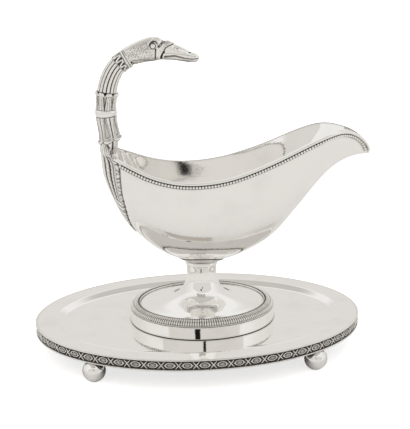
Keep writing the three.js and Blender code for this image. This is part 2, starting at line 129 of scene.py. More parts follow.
def skyPanel(tree, across, height, facing, panel, soft, under):
    # a soft-edged panel on the front wall of the light tent, laid over the tone under it
    held = facing
    for value, edges in ((across, (("left", 1), ("right", -1))), (height, (("low", 1), ("high", -1)))):
        for edge, way in edges:
            start = panel[edge] - soft * way
            stop = panel[edge] + soft * way
            held = addMath(tree, "MULTIPLY", held, addRange(tree, value, start, stop, style="SMOOTHSTEP"))
    return addMix(tree, held, under, (*panel["tone"], 1))


def setWorld(settings):
    world = bpy.data.worlds.new("lightTent")
    bpy.context.scene.world = world
    world.use_nodes = True
    tree = world.node_tree
    tree.nodes.clear()
    coords = addNode(tree, "ShaderNodeTexCoord")
    split = addNode(tree, "ShaderNodeSeparateXYZ", {0: coords.outputs["Generated"]})
    x, y, z = [split.outputs[axis] for axis in "XYZ"]
    wall = addRange(tree, y, -settings["turning"], settings["turning"])
    tone = addMix(tree, wall, (*settings["front"], 1), (*settings["behind"], 1))
    for low, high, shade in settings["rising"]:  # bright shoulders, then the dim top of the tent
        tone = addMix(tree, addRange(tree, z, low, high, style="SMOOTHSTEP"), tone, (*shade, 1))
    facing = addMath(tree, "LESS_THAN", y, settings["frontEdge"])
    ahead = addMath(tree, "MULTIPLY", y, -1)
    across = addMath(tree, "DIVIDE", x, ahead)
    height = addMath(tree, "DIVIDE", z, ahead)
    for panel in ("door", "slit", "lens", "boom"):
        tone = skyPanel(tree, across, height, facing, settings[panel], settings["softEdge"], tone)
    lit = addNode(tree, "ShaderNodeBackground", {"Color": tone})
    seen = addNode(tree, "ShaderNodeBackground", {"Color": (1, 1, 1, 1)})
    path = addNode(tree, "ShaderNodeLightPath")
    mix = addNode(tree, "ShaderNodeMixShader", {
        "Fac": path.outputs["Is Camera Ray"], 1: lit.outputs[0], 2: seen.outputs[0]})
    addNode(tree, "ShaderNodeOutputWorld", {"Surface": mix.outputs[0]})


def hangLamp(name, place, aim, side, power):
    data = bpy.data.lights.new(name, "AREA")
    data.shape = "SQUARE"
    data.size = side * mm
    data.energy = power
    lamp = addObject(name, data)
    lamp.location = Vector(place) * mm
    lamp.rotation_euler = (Vector(aim) - Vector(place)).to_track_quat("-Z", "Y").to_euler()
    lamp.visible_glossy = False


def layFloor(tone, glow):
    mesh = bpy.data.meshes.new("studioFloor")
    reach = 6.0
    corners = [(-reach, -reach, 0), (reach, -reach, 0), (reach, reach, 0), (-reach, reach, 0)]
    mesh.from_pydata(corners, [], [(0, 1, 2, 3)])
    floor = addObject("studioFloor", mesh)
    paper = bpy.data.materials.new("floorPaper")
    paper.use_nodes = True
    tree = paper.node_tree
    shader = tree.nodes["Principled BSDF"]
    shader.inputs["Base Color"].default_value = (*tone, 1)
    shader.inputs["Roughness"].default_value = 0.9
    shader.inputs["Specular IOR Level"].default_value = 0.0
    shader.inputs["Emission Color"].default_value = (1, 1, 1, 1)
    path = addNode(tree, "ShaderNodeLightPath")
    lift = addMath(tree, "MULTIPLY", path.outputs["Is Camera Ray"], glow)
    tree.links.new(lift, shader.inputs["Emission Strength"])
    mesh.materials.append(paper)


placeCamera(camera)
setWorld(light)
for lamp in light["lamps"]:
    hangLamp(*lamp)
layFloor(light["floorTone"], light["floorGlow"])
bpy.context.scene.view_settings.view_transform = "Standard"
print("camera, floor and light set")


# Finishes: silver with tarnish, and painted shade in its corners and in marked places
finishes = {
    "polished": {
        "tone": (0.972, 0.963, 0.945), "stainAndShadeTone": (0.16, 0.145, 0.125), "rough": 0.02, "spread": 0.035,
        "grain": 900, "depth": 0.00002, "reach": 2.0, "cornerStainAndShade": 0.4, "patch": 45, "mottle": 0.06},
    "cast": {
        "tone": (0.965, 0.95, 0.925), "stainAndShadeTone": (0.045, 0.04, 0.035), "rough": 0.09, "spread": 0.12,
        "grain": 1600, "depth": 0.00004, "reach": 0.7, "cornerStainAndShade": 0.9, "patch": 420, "mottle": 0.14},
    "oxidised": {
        "tone": (0.88, 0.86, 0.83), "stainAndShadeTone": (0.05, 0.045, 0.042), "rough": 0.24, "spread": 0.12,
        "grain": 1800, "depth": 0.00006, "reach": 0.3, "cornerStainAndShade": 0.6, "patch": 260, "mottle": 0.15},
}
wearAndShade = {"polishScale": 28, "polishFrom": 0.35, "polishTo": 0.7, "openCorner": 0.95, "tightCorner": 0.45,
        "cloudFrom": 0.5, "cloudTo": 0.72, "bump": 0.5}


def silver(name, settings):
    material = bpy.data.materials.new(name)
    material.use_nodes = True
    tree = material.node_tree
    shader = tree.nodes["Principled BSDF"]
    shader.inputs["Metallic"].default_value = 1.0
    coords = addNode(tree, "ShaderNodeTexCoord")
    handled = addNoise(tree, coords, wearAndShade["polishScale"], 5)  # uneven polish
    rough = settings["rough"]
    sheen = addRange(tree, handled, wearAndShade["polishFrom"], wearAndShade["polishTo"], rough, rough + settings["spread"])
    tree.links.new(sheen, shader.inputs["Roughness"])
    corners = addNode(tree, "ShaderNodeAmbientOcclusion", {"Distance": settings["reach"] * mm}, samples=8)
    held = addRange(tree, corners.outputs["AO"], wearAndShade["openCorner"], wearAndShade["tightCorner"],
                    0, settings["cornerStainAndShade"])  # tarnish held in corners, and painted shade in them, from ambient occlusion
    markedPatinaAndShade = addNode(tree, "ShaderNodeAttribute", attribute_name="patinaAndShade")  # tarnish left in the chasing, and painted shade marked under and behind parts
    both = addMath(tree, "MAXIMUM", held, markedPatinaAndShade.outputs["Fac"])
    cloud = addNoise(tree, coords, settings["patch"], 4)  # cloudy tarnish over the whole surface
    patches = addRange(tree, cloud, wearAndShade["cloudFrom"], wearAndShade["cloudTo"], 0, settings["mottle"])
    tarnishAndShade = addMath(tree, "ADD", both, patches, use_clamp=True)
    tone = addMix(tree, tarnishAndShade, (*settings["tone"], 1), (*settings["stainAndShadeTone"], 1))
    tree.links.new(tone, shader.inputs["Base Color"])
    grain = addNoise(tree, coords, settings["grain"], 2)
    bump = addNode(tree, "ShaderNodeBump", {
        "Strength": wearAndShade["bump"], "Distance": settings["depth"], "Height": grain})
    tree.links.new(bump.outputs["Normal"], shader.inputs["Normal"])
    return material


polished = silver("polishedSilver", finishes["polished"])
cast = silver("castSilver", finishes["cast"])
oxidised = silver("oxidisedSilver", finishes["oxidised"])
print("finishes mixed")


# Lines and skins
spanSteps = 48  # of a curve between two points given
fineSteps = 1200  # of a whole curve while it is worked on


def unit(ways):
    return ways / np.linalg.norm(ways, axis=-1, keepdims=True)


def lineThrough(points, count, soften=0.0):
    # even steps along a curve through the points, its bends eased over a length of soften
    points = [np.array(p, float) for p in points]
    held = [2 * points[0] - points[1]] + points + [2 * points[-1] - points[-2]]
    fine = []
    for i in range(1, len(held) - 2):
        p = held[i - 1:i + 3]
        t = [0.0]
        for k in range(3):
            t.append(t[-1] + max(np.linalg.norm(p[k + 1] - p[k]) ** 0.5, 1e-4))
        for u in np.linspace(t[1], t[2], spanSteps, endpoint=False):
            a = [(p[k] * (t[k + 1] - u) + p[k + 1] * (u - t[k])) / (t[k + 1] - t[k]) for k in range(3)]
            b = [(a[k] * (t[k + 2] - u) + a[k + 1] * (u - t[k])) / (t[k + 2] - t[k]) for k in range(2)]
            fine.append((b[0] * (t[2] - u) + b[1] * (u - t[1])) / (t[2] - t[1]))
    fine.append(points[-1])
    fine = evenly(np.array(fine), fineSteps)
    if soften:
        fine = evenly(eased(fine, soften), fineSteps)
    return evenly(fine, count)


def lengthsOf(line):
    steps = np.linalg.norm(np.diff(line, axis=0), axis=1)
    return np.concatenate([[0], np.cumsum(steps)])


def evenly(line, count):
    run = lengthsOf(line)
    marks = np.linspace(0, run[-1], count)
    return np.stack([np.interp(marks, run, line[:, k]) for k in range(line.shape[1])], axis=1)


def eased(line, soften):
    # mirrored in the boat's middle plane past both ends, so that the ends keep their place
    step = lengthsOf(line)[-1] / (len(line) - 1)
    reach = int(3 * soften / step)
    weights = np.exp(-0.5 * (np.arange(-reach, reach + 1) * step / soften) ** 2)
    weights /= weights.sum()
    crosses = line.shape[1] == 3 and np.abs(line[:, 1]).max() > 1e-6
    before = line[1:reach + 1][::-1].copy()
    after = line[-reach - 1:-1][::-1].copy()
    if crosses:
        before[:, 1] *= -1
        after[:, 1] *= -1
    else:
        before = 2 * line[0] - before
        after = 2 * line[-1] - after
    longer = np.concatenate([before, line, after])
    return np.stack([np.convolve(longer[:, k], weights, "valid") for k in range(line.shape[1])], axis=1)


def roundedProfile(corners, closed=False, steps=5):
    # corners are (inset, height, radius); each is rounded by an arc of about that radius
    out = []
    count = len(corners)
    for i, (x, z, radius) in enumerate(corners):
        here = np.array((x, z), float)
        ends = not closed and i in (0, count - 1)
        if radius <= 0 or ends:
            out.append(here)
            continue
        before = np.array(corners[i - 1][:2], float) - here
        after = np.array(corners[(i + 1) % count][:2], float) - here
        start = here + before * min(radius / np.linalg.norm(before), 0.48)
        stop = here + after * min(radius / np.linalg.norm(after), 0.48)
        for u in np.linspace(0, 1, steps):
            out.append(start * (1 - u) ** 2 + here * 2 * u * (1 - u) + stop * u * u)
    return out


def gridFaces(rows, columns, wrapRows=False, wrapColumns=True, first=0):
    faces = []
    for i in range(rows if wrapRows else rows - 1):
        here = first + i * columns
        after = first + ((i + 1) % rows) * columns
        for k in range(columns if wrapColumns else columns - 1):
            nextK = (k + 1) % columns
            faces.append((here + k, here + nextK, after + nextK, after + k))
    return faces


def makePiece(name, points, faces, look, body, nodes, sharp=50, dark=None):
    mesh = bpy.data.meshes.new(name)
    mesh.from_pydata([tuple(float(c) * mm for c in p) for p in points], [], faces)
    if dark is not None:
        # darkness given per point: patina in the chasing, and painted shade under and behind parts
        patinaAndShade = mesh.attributes.new("patinaAndShade", "FLOAT", "POINT")
        patinaAndShade.data.foreach_set("value", np.asarray(dark, dtype=np.float32))
    return finishPiece(name, mesh, look, body, nodes, sharp)


def finishPiece(name, mesh, look, body, nodes, sharp=50):
    work = bmesh.new()
    work.from_mesh(mesh)
    bmesh.ops.remove_doubles(work, verts=work.verts, dist=1e-6)
    bmesh.ops.dissolve_degenerate(work, edges=work.edges, dist=1e-7)
    bmesh.ops.recalc_face_normals(work, faces=work.faces)
    work.to_mesh(mesh)
    work.free()
    mesh.shade_smooth()
    mesh.set_sharp_from_angle(angle=math.radians(sharp))
    mesh.materials.clear()
    mesh.materials.append(look)
    piece = addObject(name, mesh)
    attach(piece, body)
    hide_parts(*nodes)
    return piece


def skinned(name, rings, look, body, nodes, loop=False, sharp=50, dark=None):
    # rings of equal length, closed at both ends unless they come round on themselves
    columns = len(rings[0])
    points = [p for ring in rings for p in ring]
    faces = gridFaces(len(rings), columns, wrapRows=loop)
    shades = None
    if dark is not None:
        shades = [d for ring in dark for d in np.broadcast_to(ring, columns)]
        shades += [] if loop else [dark[0][0], dark[-1][0]]
    if not loop:
        for ring, first in ((rings[0], 0), (rings[-1], (len(rings) - 1) * columns)):
            points.append(np.mean(np.array(ring), axis=0))
            tip = len(points) - 1
            faces += [(first + k, first + (k + 1) % columns, tip) for k in range(columns)]
    return makePiece(name, points, faces, look, body, nodes, sharp, shades)


def ovalRing(semiX, semiY, z, sides, middleX=0.0):
    turns = np.linspace(0, 2 * math.pi, sides, endpoint=False)
    return np.stack([middleX + semiX * np.cos(turns), semiY * np.sin(turns), np.full(sides, z)], axis=1)


def openTree(name, inputs):
    # a geometry node group with its inputs, and the line it is given with as many even points as the first
    tree = bpy.data.node_groups.new(name, "GeometryNodeTree")
    face = tree.interface
    face.new_socket("Geometry", in_out="INPUT", socket_type="NodeSocketGeometry")
    for label, kind in inputs:
        face.new_socket(label, in_out="INPUT", socket_type="NodeSocket" + kind)
    face.new_socket("Geometry", in_out="OUTPUT", socket_type="NodeSocketGeometry")
    given = addNode(tree, "NodeGroupInput").outputs
    line = addNode(tree, "GeometryNodeMeshToCurve", {"Mesh": given["Geometry"]})
    fed = {"Curve": line.outputs["Curve"], "Count": given[inputs[0][0]]}
    return tree, given, addNode(tree, "GeometryNodeResampleCurve", fed, mode="COUNT").outputs["Curve"]


def closeTree(tree, grown, look):
    real = addNode(tree, "GeometryNodeRealizeInstances", {"Geometry": grown})
    fed = {"Geometry": real.outputs["Geometry"], "Material": look}
    looks = addNode(tree, "GeometryNodeSetMaterial", fed)
    addNode(tree, "NodeGroupOutput", {0: looks.outputs["Geometry"]})
    return tree


def threadTree(name):
    # a geometry node group that threads round beads on the line it is given
    tree, given, line = openTree(name, [
        ("Beads", "Int"), ("Radius", "Float"), ("Least", "Float"), ("Sides", "Int"), ("Rings", "Int"),
        ("Look", "Material")])
    bead = addNode(tree, "GeometryNodeMeshUVSphere", {
        "Segments": given["Sides"], "Rings": given["Rings"], "Radius": given["Radius"]})
    fed = {"Seed": 7, 2: given["Least"], 3: 1.0}  # from the least size to full size
    sizes = addNode(tree, "FunctionNodeRandomValue", fed, data_type="FLOAT")
    threaded = addNode(tree, "GeometryNodeInstanceOnPoints", {
        "Points": line, "Instance": bead.outputs["Mesh"], "Scale": sizes.outputs[1]})
    return closeTree(tree, threaded.outputs["Instances"], given["Look"])


def grownMesh(name, line, tree, values, closed=False):
    # the line goes through the node group and comes back as a plain mesh
    seed = bpy.data.meshes.new(name + "Line")
    edges = [(i, i + 1) for i in range(len(line) - 1)]
    if closed:
        edges.append((len(line) - 1, 0))
    seed.from_pydata([tuple(float(c) * mm for c in p) for p in line], edges, [])
    holder = addObject(name + "Line", seed)
    growth = holder.modifiers.new("growth", "NODES")
    growth.node_group = tree
    for item in tree.interface.items_tree:
        if item.item_type == "SOCKET" and item.in_out == "INPUT" and item.name in values:
            growth[item.identifier] = values[item.name]
    seen = holder.evaluated_get(bpy.context.evaluated_depsgraph_get())
    mesh = bpy.data.meshes.new_from_object(seen)
    holder.modifiers.remove(growth)
    bpy.data.objects.remove(holder)
    mesh.name = name
    return mesh


ringWire = [(14, 1), (4, 0.13)]  # sides and reach of a ring and of its wire


def borderTree(name, motifs):
    # a geometry node group that sets ornaments on a closed line; a motif is its shape, the places that
    # have it (0 all, 1 the first of each two, 2 the second), its place there, turn and size
    tree, given, line = openTree(name, [("Places", "Int"), ("Look", "Material")])
    ahead = addNode(tree, "GeometryNodeInputTangent")
    facing = addNode(tree, "FunctionNodeAlignRotationToVector", {"Vector": ahead.outputs["Tangent"]},
                     axis="X", pivot_axis="Z")
    number = addNode(tree, "GeometryNodeInputIndex")
    second = addMath(tree, "MODULO", number.outputs["Index"], 2)
    first = addMath(tree, "SUBTRACT", 1, second)
    together = addNode(tree, "GeometryNodeJoinGeometry")
    for shape, which, place, turn, size in motifs:
        if shape == "ring":
            circles = []
            for sides, reach in ringWire:
                fed = {"Resolution": sides, "Radius": reach}
                circles.append(addNode(tree, "GeometryNodeCurvePrimitiveCircle", fed).outputs["Curve"])
            loop, wire = circles
            body = addNode(tree, "GeometryNodeCurveToMesh", {"Curve": loop, "Profile Curve": wire})
        else:
            body = addNode(tree, "GeometryNodeMeshUVSphere", {"Segments": 8, "Rings": 5, "Radius": 1})
        laid = addNode(tree, "GeometryNodeTransform", {
            "Geometry": body.outputs["Mesh"], "Translation": [v * mm for v in place],
            "Rotation": [math.radians(v) for v in turn], "Scale": [v * mm for v in size]})
        fed = {"Points": line, "Instance": laid.outputs["Geometry"], "Rotation": facing.outputs["Rotation"]}
        if which:
            fed["Selection"] = first if which == 1 else second
        setOn = addNode(tree, "GeometryNodeInstanceOnPoints", fed)
        tree.links.new(setOn.outputs["Instances"], together.inputs["Geometry"])
    return closeTree(tree, together.outputs["Geometry"], given["Look"])


def makeMotifs(name, line, places, motifs, body, node):
    values = {"Places": places, "Look": oxidised}
    mesh = grownMesh(name, line, borderTree(name + "Motifs", motifs), values, closed=True)
    return finishPiece(name, mesh, oxidised, body, [node])


beadThread = threadTree("threadedBeads")
borderSteps = 720  # of the lines that ornaments are set on


# Tray
tray = {"semiX": 127.5, "semiY": 93.1, "top": 24.5, "well": 21.3, "gauge": 1.4, "marli": 15.0,
        "band": 8.4, "sides": 256}


def makeTrayPlate(t):
    top = t["top"]
    under = top - 0.2 - t["gauge"]
    profile = roundedProfile([
        (24.0, t["well"], 0),
        (20.2, t["well"] + 0.1, 1.6),
        (t["marli"] + 1.2, top - 0.55, 1.0),
        (t["marli"], top - 0.1, 0.5),
        (t["marli"] - 1.2, top - 0.25, 0.6),
        (t["marli"] - 2.2, top - 0.24, 0),
        (2.6, top - 0.11, 0),
        (1.6, top - 0.1, 0),
        (1.6, under, 0),
        (t["marli"], under, 1.5),
        (20.5, t["well"] - t["gauge"], 1.5),
        (26.0, t["well"] - t["gauge"], 0),
    ])
    rings = [ovalRing(t["semiX"] - x, t["semiY"] - x, z, t["sides"], trayX) for x, z in profile]
    edge = max(i for i, (x, z) in enumerate(profile) if x == min(p[0] for p in profile))
    shadedUnderside = [[0.0] if i < edge else [1.0] for i in range(len(profile))]  # the underside is painted dark, as shade where no light falls
    return skinned("trayPlate", rings, polished, "tray", ["tray_plate"], sharp=35, dark=shadedUnderside)


def makeTrayBand(t):
    top = t["top"]
    foot = top - t["band"]
    profile = roundedProfile([
        (1.7, top, 0.3), (0.0, top, 0.3), (0.0, top - 0.7, 0.2), (0.7, top - 0.85, 0.1),
        (0.7, foot + 1.0, 0.1), (0.1, foot + 0.8, 0.2), (0.1, foot, 0.3), (1.5, foot, 0.2),
    ], closed=True, steps=4)
    rings = [ovalRing(t["semiX"] - x, t["semiY"] - x, z, t["sides"], trayX) for x, z in profile]
    ground = [[1.0 if 0.3 < x < 1.0 and foot + 0.75 < z < top - 0.75 else 0.0] for x, z in profile]
    return skinned("trayFriezeBand", rings, oxidised, "tray", ["tray_frieze_band"], loop=True, dark=ground)


# Die-rolled frieze: long ovals with nested lines between crossing strands with beads
frieze = {"periods": 55, "inset": 0.72, "motifs": [
    ("ring", 1, (0, 0, 0), (90, 0, 0), (3.3, 1.95, 1.2)),
    ("leaf", 1, (0, 0, 0.85), (0, 0, 0), (1.8, 0.25, 0.24)),
    ("leaf", 1, (0, 0, 0), (0, 0, 0), (2.4, 0.25, 0.3)),
    ("leaf", 1, (0, 0, -0.85), (0, 0, 0), (1.8, 0.25, 0.24)),
    ("leaf", 2, (0, 0, 0), (0, 50, 0), (3.9, 0.6, 0.5)),
    ("leaf", 2, (0, 0, 0), (0, -50, 0), (3.9, 0.6, 0.5)),
    ("bead", 2, (0, -0.3, 0), (0, 0, 0), (0.65, 0.5, 0.65)),
    ("bead", 2, (2.3, -0.1, 0), (0, 0, 0), (0.45, 0.5, 0.45)),
    ("bead", 2, (-2.3, -0.1, 0), (0, 0, 0), (0.45, 0.5, 0.45)),
]}


def makeFrieze(t, f):
    middle = t["top"] - (t["band"] - 0.1) / 2
    line = ovalRing(t["semiX"] - f["inset"], t["semiY"] - f["inset"], middle, borderSteps, trayX)
    return makeMotifs("trayFrieze", line, 2 * f["periods"], f["motifs"], "tray", "tray_frieze_band")


makeTrayPlate(tray)
makeTrayBand(tray)
makeFrieze(tray, frieze)

ballFoot = {"radius": 8.6, "flat": 0.15, "neck": 3.4, "seat": 22.4, "x": 82.6, "y": 64.0, "steps": 28,
            "sides": 48}


def makeBallFoot(b, name, node, x, y):
    centre = b["radius"] - b["flat"]
    radius = b["radius"]
    neck = b["neck"]
    low = math.acos(centre / radius)
    high = math.pi - math.asin(neck / radius)
    turns = np.linspace(low, high, b["steps"])
    profile = [(radius * math.sin(a), centre - radius * math.cos(a)) for a in turns]
    profile += [(neck - 0.2, profile[-1][1] + 0.5), (neck + 0.5, b["seat"] - 0.6), (neck + 1.2, b["seat"])]
    rings = [ovalRing(r, r, z, b["sides"], x) + np.array((0, y, 0)) for r, z in profile]
    return skinned(name, rings, polished, "tray", [node])


for end, x in (("spout", ballFoot["x"]), ("handle", -ballFoot["x"])):
    for side, y in (("left", ballFoot["y"]), ("right", -ballFoot["y"])):
        makeBallFoot(ballFoot, f"ballFoot.{end}.{side}", f"ball_foot_{end}_{side}", trayX + x, y)
print("tray made")


# Foot of the boat
foot = {"semiX": 56.8, "semiY": 49.4, "base": 21.6, "plinth": 9.6, "border": 4.2, "borderWidth": 8.2,
        "stemTop": 66.0, "gauge": 1.3, "hollow": 8, "sides": 224}


def footRings(profile, f):
    return [ovalRing(f["semiX"] - x, f["semiY"] - x, z, f["sides"], boatX) for x, z in profile]


def makePlinth(f):
    low = f["base"]
    top = low + f["plinth"]
    back = f["borderWidth"] - 1
    profile = roundedProfile([
        (0.2, low, 0.3), (0.19, low + 0.6, 0), (0.01, top - 0.8, 0), (0.0, top, 0.5), (back, top, 0.2),
        (back, top - 1, 0.2), (1.6, top - 1.6, 0.3), (1.6, low, 0.3),
    ], closed=True, steps=4)
    return skinned("footPlinth", footRings(profile, f), polished, "boat", ["foot_plinth"], loop=True)


def makeBorder(f):
    base = f["base"] + f["plinth"] + 0.3
    wide = f["borderWidth"]
    tall = f["border"]
    profile = [(0.55, base), (0.5, base + 0.35), (0.75, base + 0.6), (1.1, base + 0.62)]
    for a in np.linspace(0, math.pi / 2, 33)[1:]:
        profile.append((1 + (wide - 1.6) * (1 - math.cos(a)), base + 0.4 + (tall - 0.4) * math.sin(a)))
    profile += [(wide, base + tall - 0.3), (wide, base - 0.2), (1, base - 0.2)]
    ground = [[float(np.interp(x, (0.85, 0.95, 4.6, 5.8, 6.1, 7.4, 7.65), (0, 0.75, 0.75, 0.4, 1, 1, 0)))]
              for x, z in profile]
    rings = footRings(profile, f)
    return skinned("footLeafBorder", rings, oxidised, "boat", ["foot_leaf_border"], loop=True, dark=ground)


# Upright tongue leaves round the moulding
tongues = {"count": 176, "inset": 1.75, "rise": 2.35, "motifs": [
    ("leaf", 0, (0, 0, 0), (-40, 0, 0), (0.72, 0.5, 1.75)),
    ("leaf", 0, (0, 2.75, 1.65), (-70, 0, 0), (0.66, 0.45, 2.1)),
]}


def makeTongues(f, t):
    height = f["base"] + f["plinth"] + t["rise"]
    line = ovalRing(f["semiX"] - t["inset"], f["semiY"] - t["inset"], height, borderSteps, boatX)
    return makeMotifs("footTongues", line, t["count"], t["motifs"], "boat", "foot_leaf_border")


def makeDome(f):
    edge = f["base"] + f["plinth"] + f["border"] - 0.9
    widths = [f["semiX"] - f["borderWidth"] - 0.3, 43, 34, 26.5, 20.6, 16.4, 13.6, 12.1, 11.6, 11.9]
    depths = [f["semiY"] - f["borderWidth"] - 0.3, 37.4, 30, 24, 19.4, 15.9, 13.4, 12, 11.6, 11.9]
    rises = [0, 0.6, 1.7, 3.5, 6.4, 10.2, 15, 20.5, 25.5, f["stemTop"] - edge]
    sweep = lineThrough(np.stack([widths, depths, rises], axis=1), 90, soften=0)
    outer = [ovalRing(a, b, edge + rise, f["sides"], boatX) for a, b, rise in sweep]
    inner = []
    for a, b, rise in sweep[::-6] - f["gauge"]:
        inner.append(ovalRing(max(a, f["hollow"]), max(b, f["hollow"]), edge + rise, f["sides"], boatX))
    return skinned("footDome", outer + inner, polished, "boat", ["foot_dome"], loop=True)


makePlinth(foot)
makeBorder(foot)
makeTongues(foot, tongues)
makeDome(foot)
print("foot made")


# Bowl
bowl = {
    "columns": 260, "rows": 56, "gauge": 2.6, "rimGauge": 0.5, "thinned": 0.4, "soften": 4.0,
    "fullness": (2, 0.75), "leastInside": 0.35,
    "keel": [(-72.5, 159.5), (-71.2, 147), (-67.5, 131), (-60.5, 112), (-50, 95.5), (-36, 82.6), (-18, 73),
             (0, 70), (17, 71.2), (35, 77.2), (54, 88.3), (73, 109), (91.6, 130), (105, 141.6), (119, 148),
             (131.5, 149.2)],
    "rim": [(-72.5, 0, 159.5), (-71.6, 6, 159.2), (-68.2, 12.6, 158.2), (-61, 20.4, 155.2), (-50, 26.6, 150),
            (-38, 31, 144.8), (-20, 34.2, 140.4), (-2, 35.2, 139.6), (20, 34.2, 142.2), (50, 30.2, 151.6),
            (78, 26.6, 163.4), (92, 23.4, 168.6), (102, 17.6, 170.4), (110, 11, 169.7), (118, 6.4, 167.2),
            (125.5, 4, 162.2), (130.2, 2.8, 155.6), (131.5, 0, 149.2)],
}
keelLine = lineThrough([(x, 0, z) for x, z in bowl["keel"]], 1201, bowl["soften"])
rimLine = lineThrough(bowl["rim"], 1201, bowl["soften"])


def onLine(line, along):
    mark = np.clip(along, 0, 1) * (len(line) - 1)
    low = np.minimum(np.floor(mark).astype(int), len(line) - 2)
    share = (mark - low)[..., None]
    return line[low] * (1 - share) + line[low + 1] * share


def hullPoints(along, side):
    # along runs from the handle to the lip, side from -1 at the right rim by 0 at the keel to 1
    along = np.asarray(along, float)
    side = np.asarray(side, float)
    low = onLine(keelLine, along)
    high = onLine(rimLine, along)
    turn = np.abs(side) * math.pi / 2
    slim, full = bowl["fullness"]
    fullness = slim + full * np.sin(math.pi * along) ** 2
    spread = np.sin(turn) ** (2 / fullness)
    climb = 1 - np.clip(np.cos(turn), 0, 1) ** (2 / fullness)
    return np.stack([
        low[..., 0] + (high[..., 0] - low[..., 0]) * climb,
        np.sign(side) * high[..., 1] * spread,
        low[..., 2] + (high[..., 2] - low[..., 2]) * climb,
    ], axis=-1)


def hullNormals(along, side, step=0.004):
    a = np.clip(along, 0.006, 0.994)
    forward = hullPoints(a + step, side) - hullPoints(a - step, side)
    across = hullPoints(a, np.minimum(side + step, 1)) - hullPoints(a, np.maximum(side - step, -1))
    out = -np.cross(forward, across)
    return unit(out)


def makeBowl(b):
    alongs = np.linspace(0, 1, b["columns"] + 1)
    sides = np.linspace(-1, 1, 2 * b["rows"] + 1)
    along, side = np.meshgrid(alongs, sides, indexing="ij")
    outer = hullPoints(along, side)
    turn = np.abs(side) * math.pi / 2
    below = np.clip(np.cos(turn), 0, 1) ** 0.75 / b["thinned"]  # the wall is hammered thinner up to its rim
    gauge = b["rimGauge"] + (b["gauge"] - b["rimGauge"]) * np.clip(below, 0, 1)
    inner = outer - hullNormals(along, side) * gauge[..., None]
    least = b["leastInside"] * np.abs(outer[..., 1])
    inner[..., 1] = np.sign(side) * np.maximum(np.sign(side) * inner[..., 1], least)
    inner[0] = inner[0, b["rows"]]
    inner[-1] = inner[-1, b["rows"]]
    rows, columns = outer.shape[:2]
    points = list(outer.reshape(-1, 3)) + list(inner.reshape(-1, 3))
    faces = gridFaces(rows, columns, wrapColumns=False)
    faces += [tuple(reversed(f)) for f in gridFaces(rows, columns, wrapColumns=False, first=rows * columns)]
    shift = rows * columns
    for i in range(rows - 1):
        for k in (0, columns - 1):
            a = i * columns + k
            c = a + columns
            faces.append((a, c, shift + c, shift + a))
    points = [p + boatShift for p in points]
    return makePiece("bowlWall", points, faces, polished, "boat", ["bowl_shell"], sharp=60)


makeBowl(bowl)
print("bowl made")


# Rim: a lip wire over the edge of the wall and a beaded wire under it
rimTrim = {
    "clear": 3 / 36, "beadClear": 0.112, "lipOut": 2.1, "lipHigh": 1.4, "lipRound": 0.5, "backing": 0.9,
    "beadRadius": 1.16, "beadPitch": 2.3, "beadDrop": 0.36, "beadSides": 10, "beadRings": 6,
    "beadless": 0.035, "fading": 0.04, "tipShare": 0.012, "turns": 520,
}
tipOut = np.array((0.13, 0, -0.99))  # at the lip's very tip the way out of the wall is down
tipUp = unit(np.array((1, 0, 0.15)))


def besideLip(turns):
    # 0 round the tip of the spout, 1 from a little way up both its sides
    away = np.abs(np.asarray(turns) - 0.5) - rimTrim["beadless"]
    return np.clip(away / rimTrim["fading"], 0, 1)


def rimFrames(turns, clear):
    # from one side of the handle round the lip to the other: the place, the way out of the wall and up it
    turns = np.asarray(turns, float)
    side = np.where(turns <= 0.5, 1.0, -1.0)
    along = clear + (1 - clear) * (1 - np.abs(1 - 2 * turns))
    place = hullPoints(along, side)
    out = hullNormals(np.minimum(along, 0.99), side * 0.985)
    a = np.minimum(along, 0.996)
    run = unit(hullPoints(a + 0.004, side) - hullPoints(a - 0.004, side))
    up = unit(np.cross(run, out) * side[:, None])
    near = rimTrim["tipShare"]
    share = np.clip((near - np.abs(turns - 0.5)) / near, 0, 1)[:, None]
    share = share * share * (3 - 2 * share)
    return place, unit(out * (1 - share) + tipOut * share), unit(up * (1 - share) + tipUp * share)


def trimRings(turns, section, clear):
    place, out, up = rimFrames(turns, clear)
    place = place + boatShift
    return [[place[i] + out[i] * away + up[i] * rise for away, rise in section] for i in range(len(turns))]


def makeRimLip(r):
    low = -r["lipHigh"]
    far = r["lipOut"]
    section = roundedProfile([
        (-1.25, 0.15, 0.3), (-1.25, 0.55, 0.3), (far, 0.3, r["lipRound"]), (far + 0.15, low / 2, 0.4),
        (far, low, r["lipRound"]), (0.1, low, 0.2), (0.1, 0.15, 0.1),
    ], closed=True, steps=4)
    turns = np.linspace(0, 1, r["turns"])
    return skinned("rimLip", trimRings(turns, section, r["clear"]), polished, "boat", ["rim_lip"])


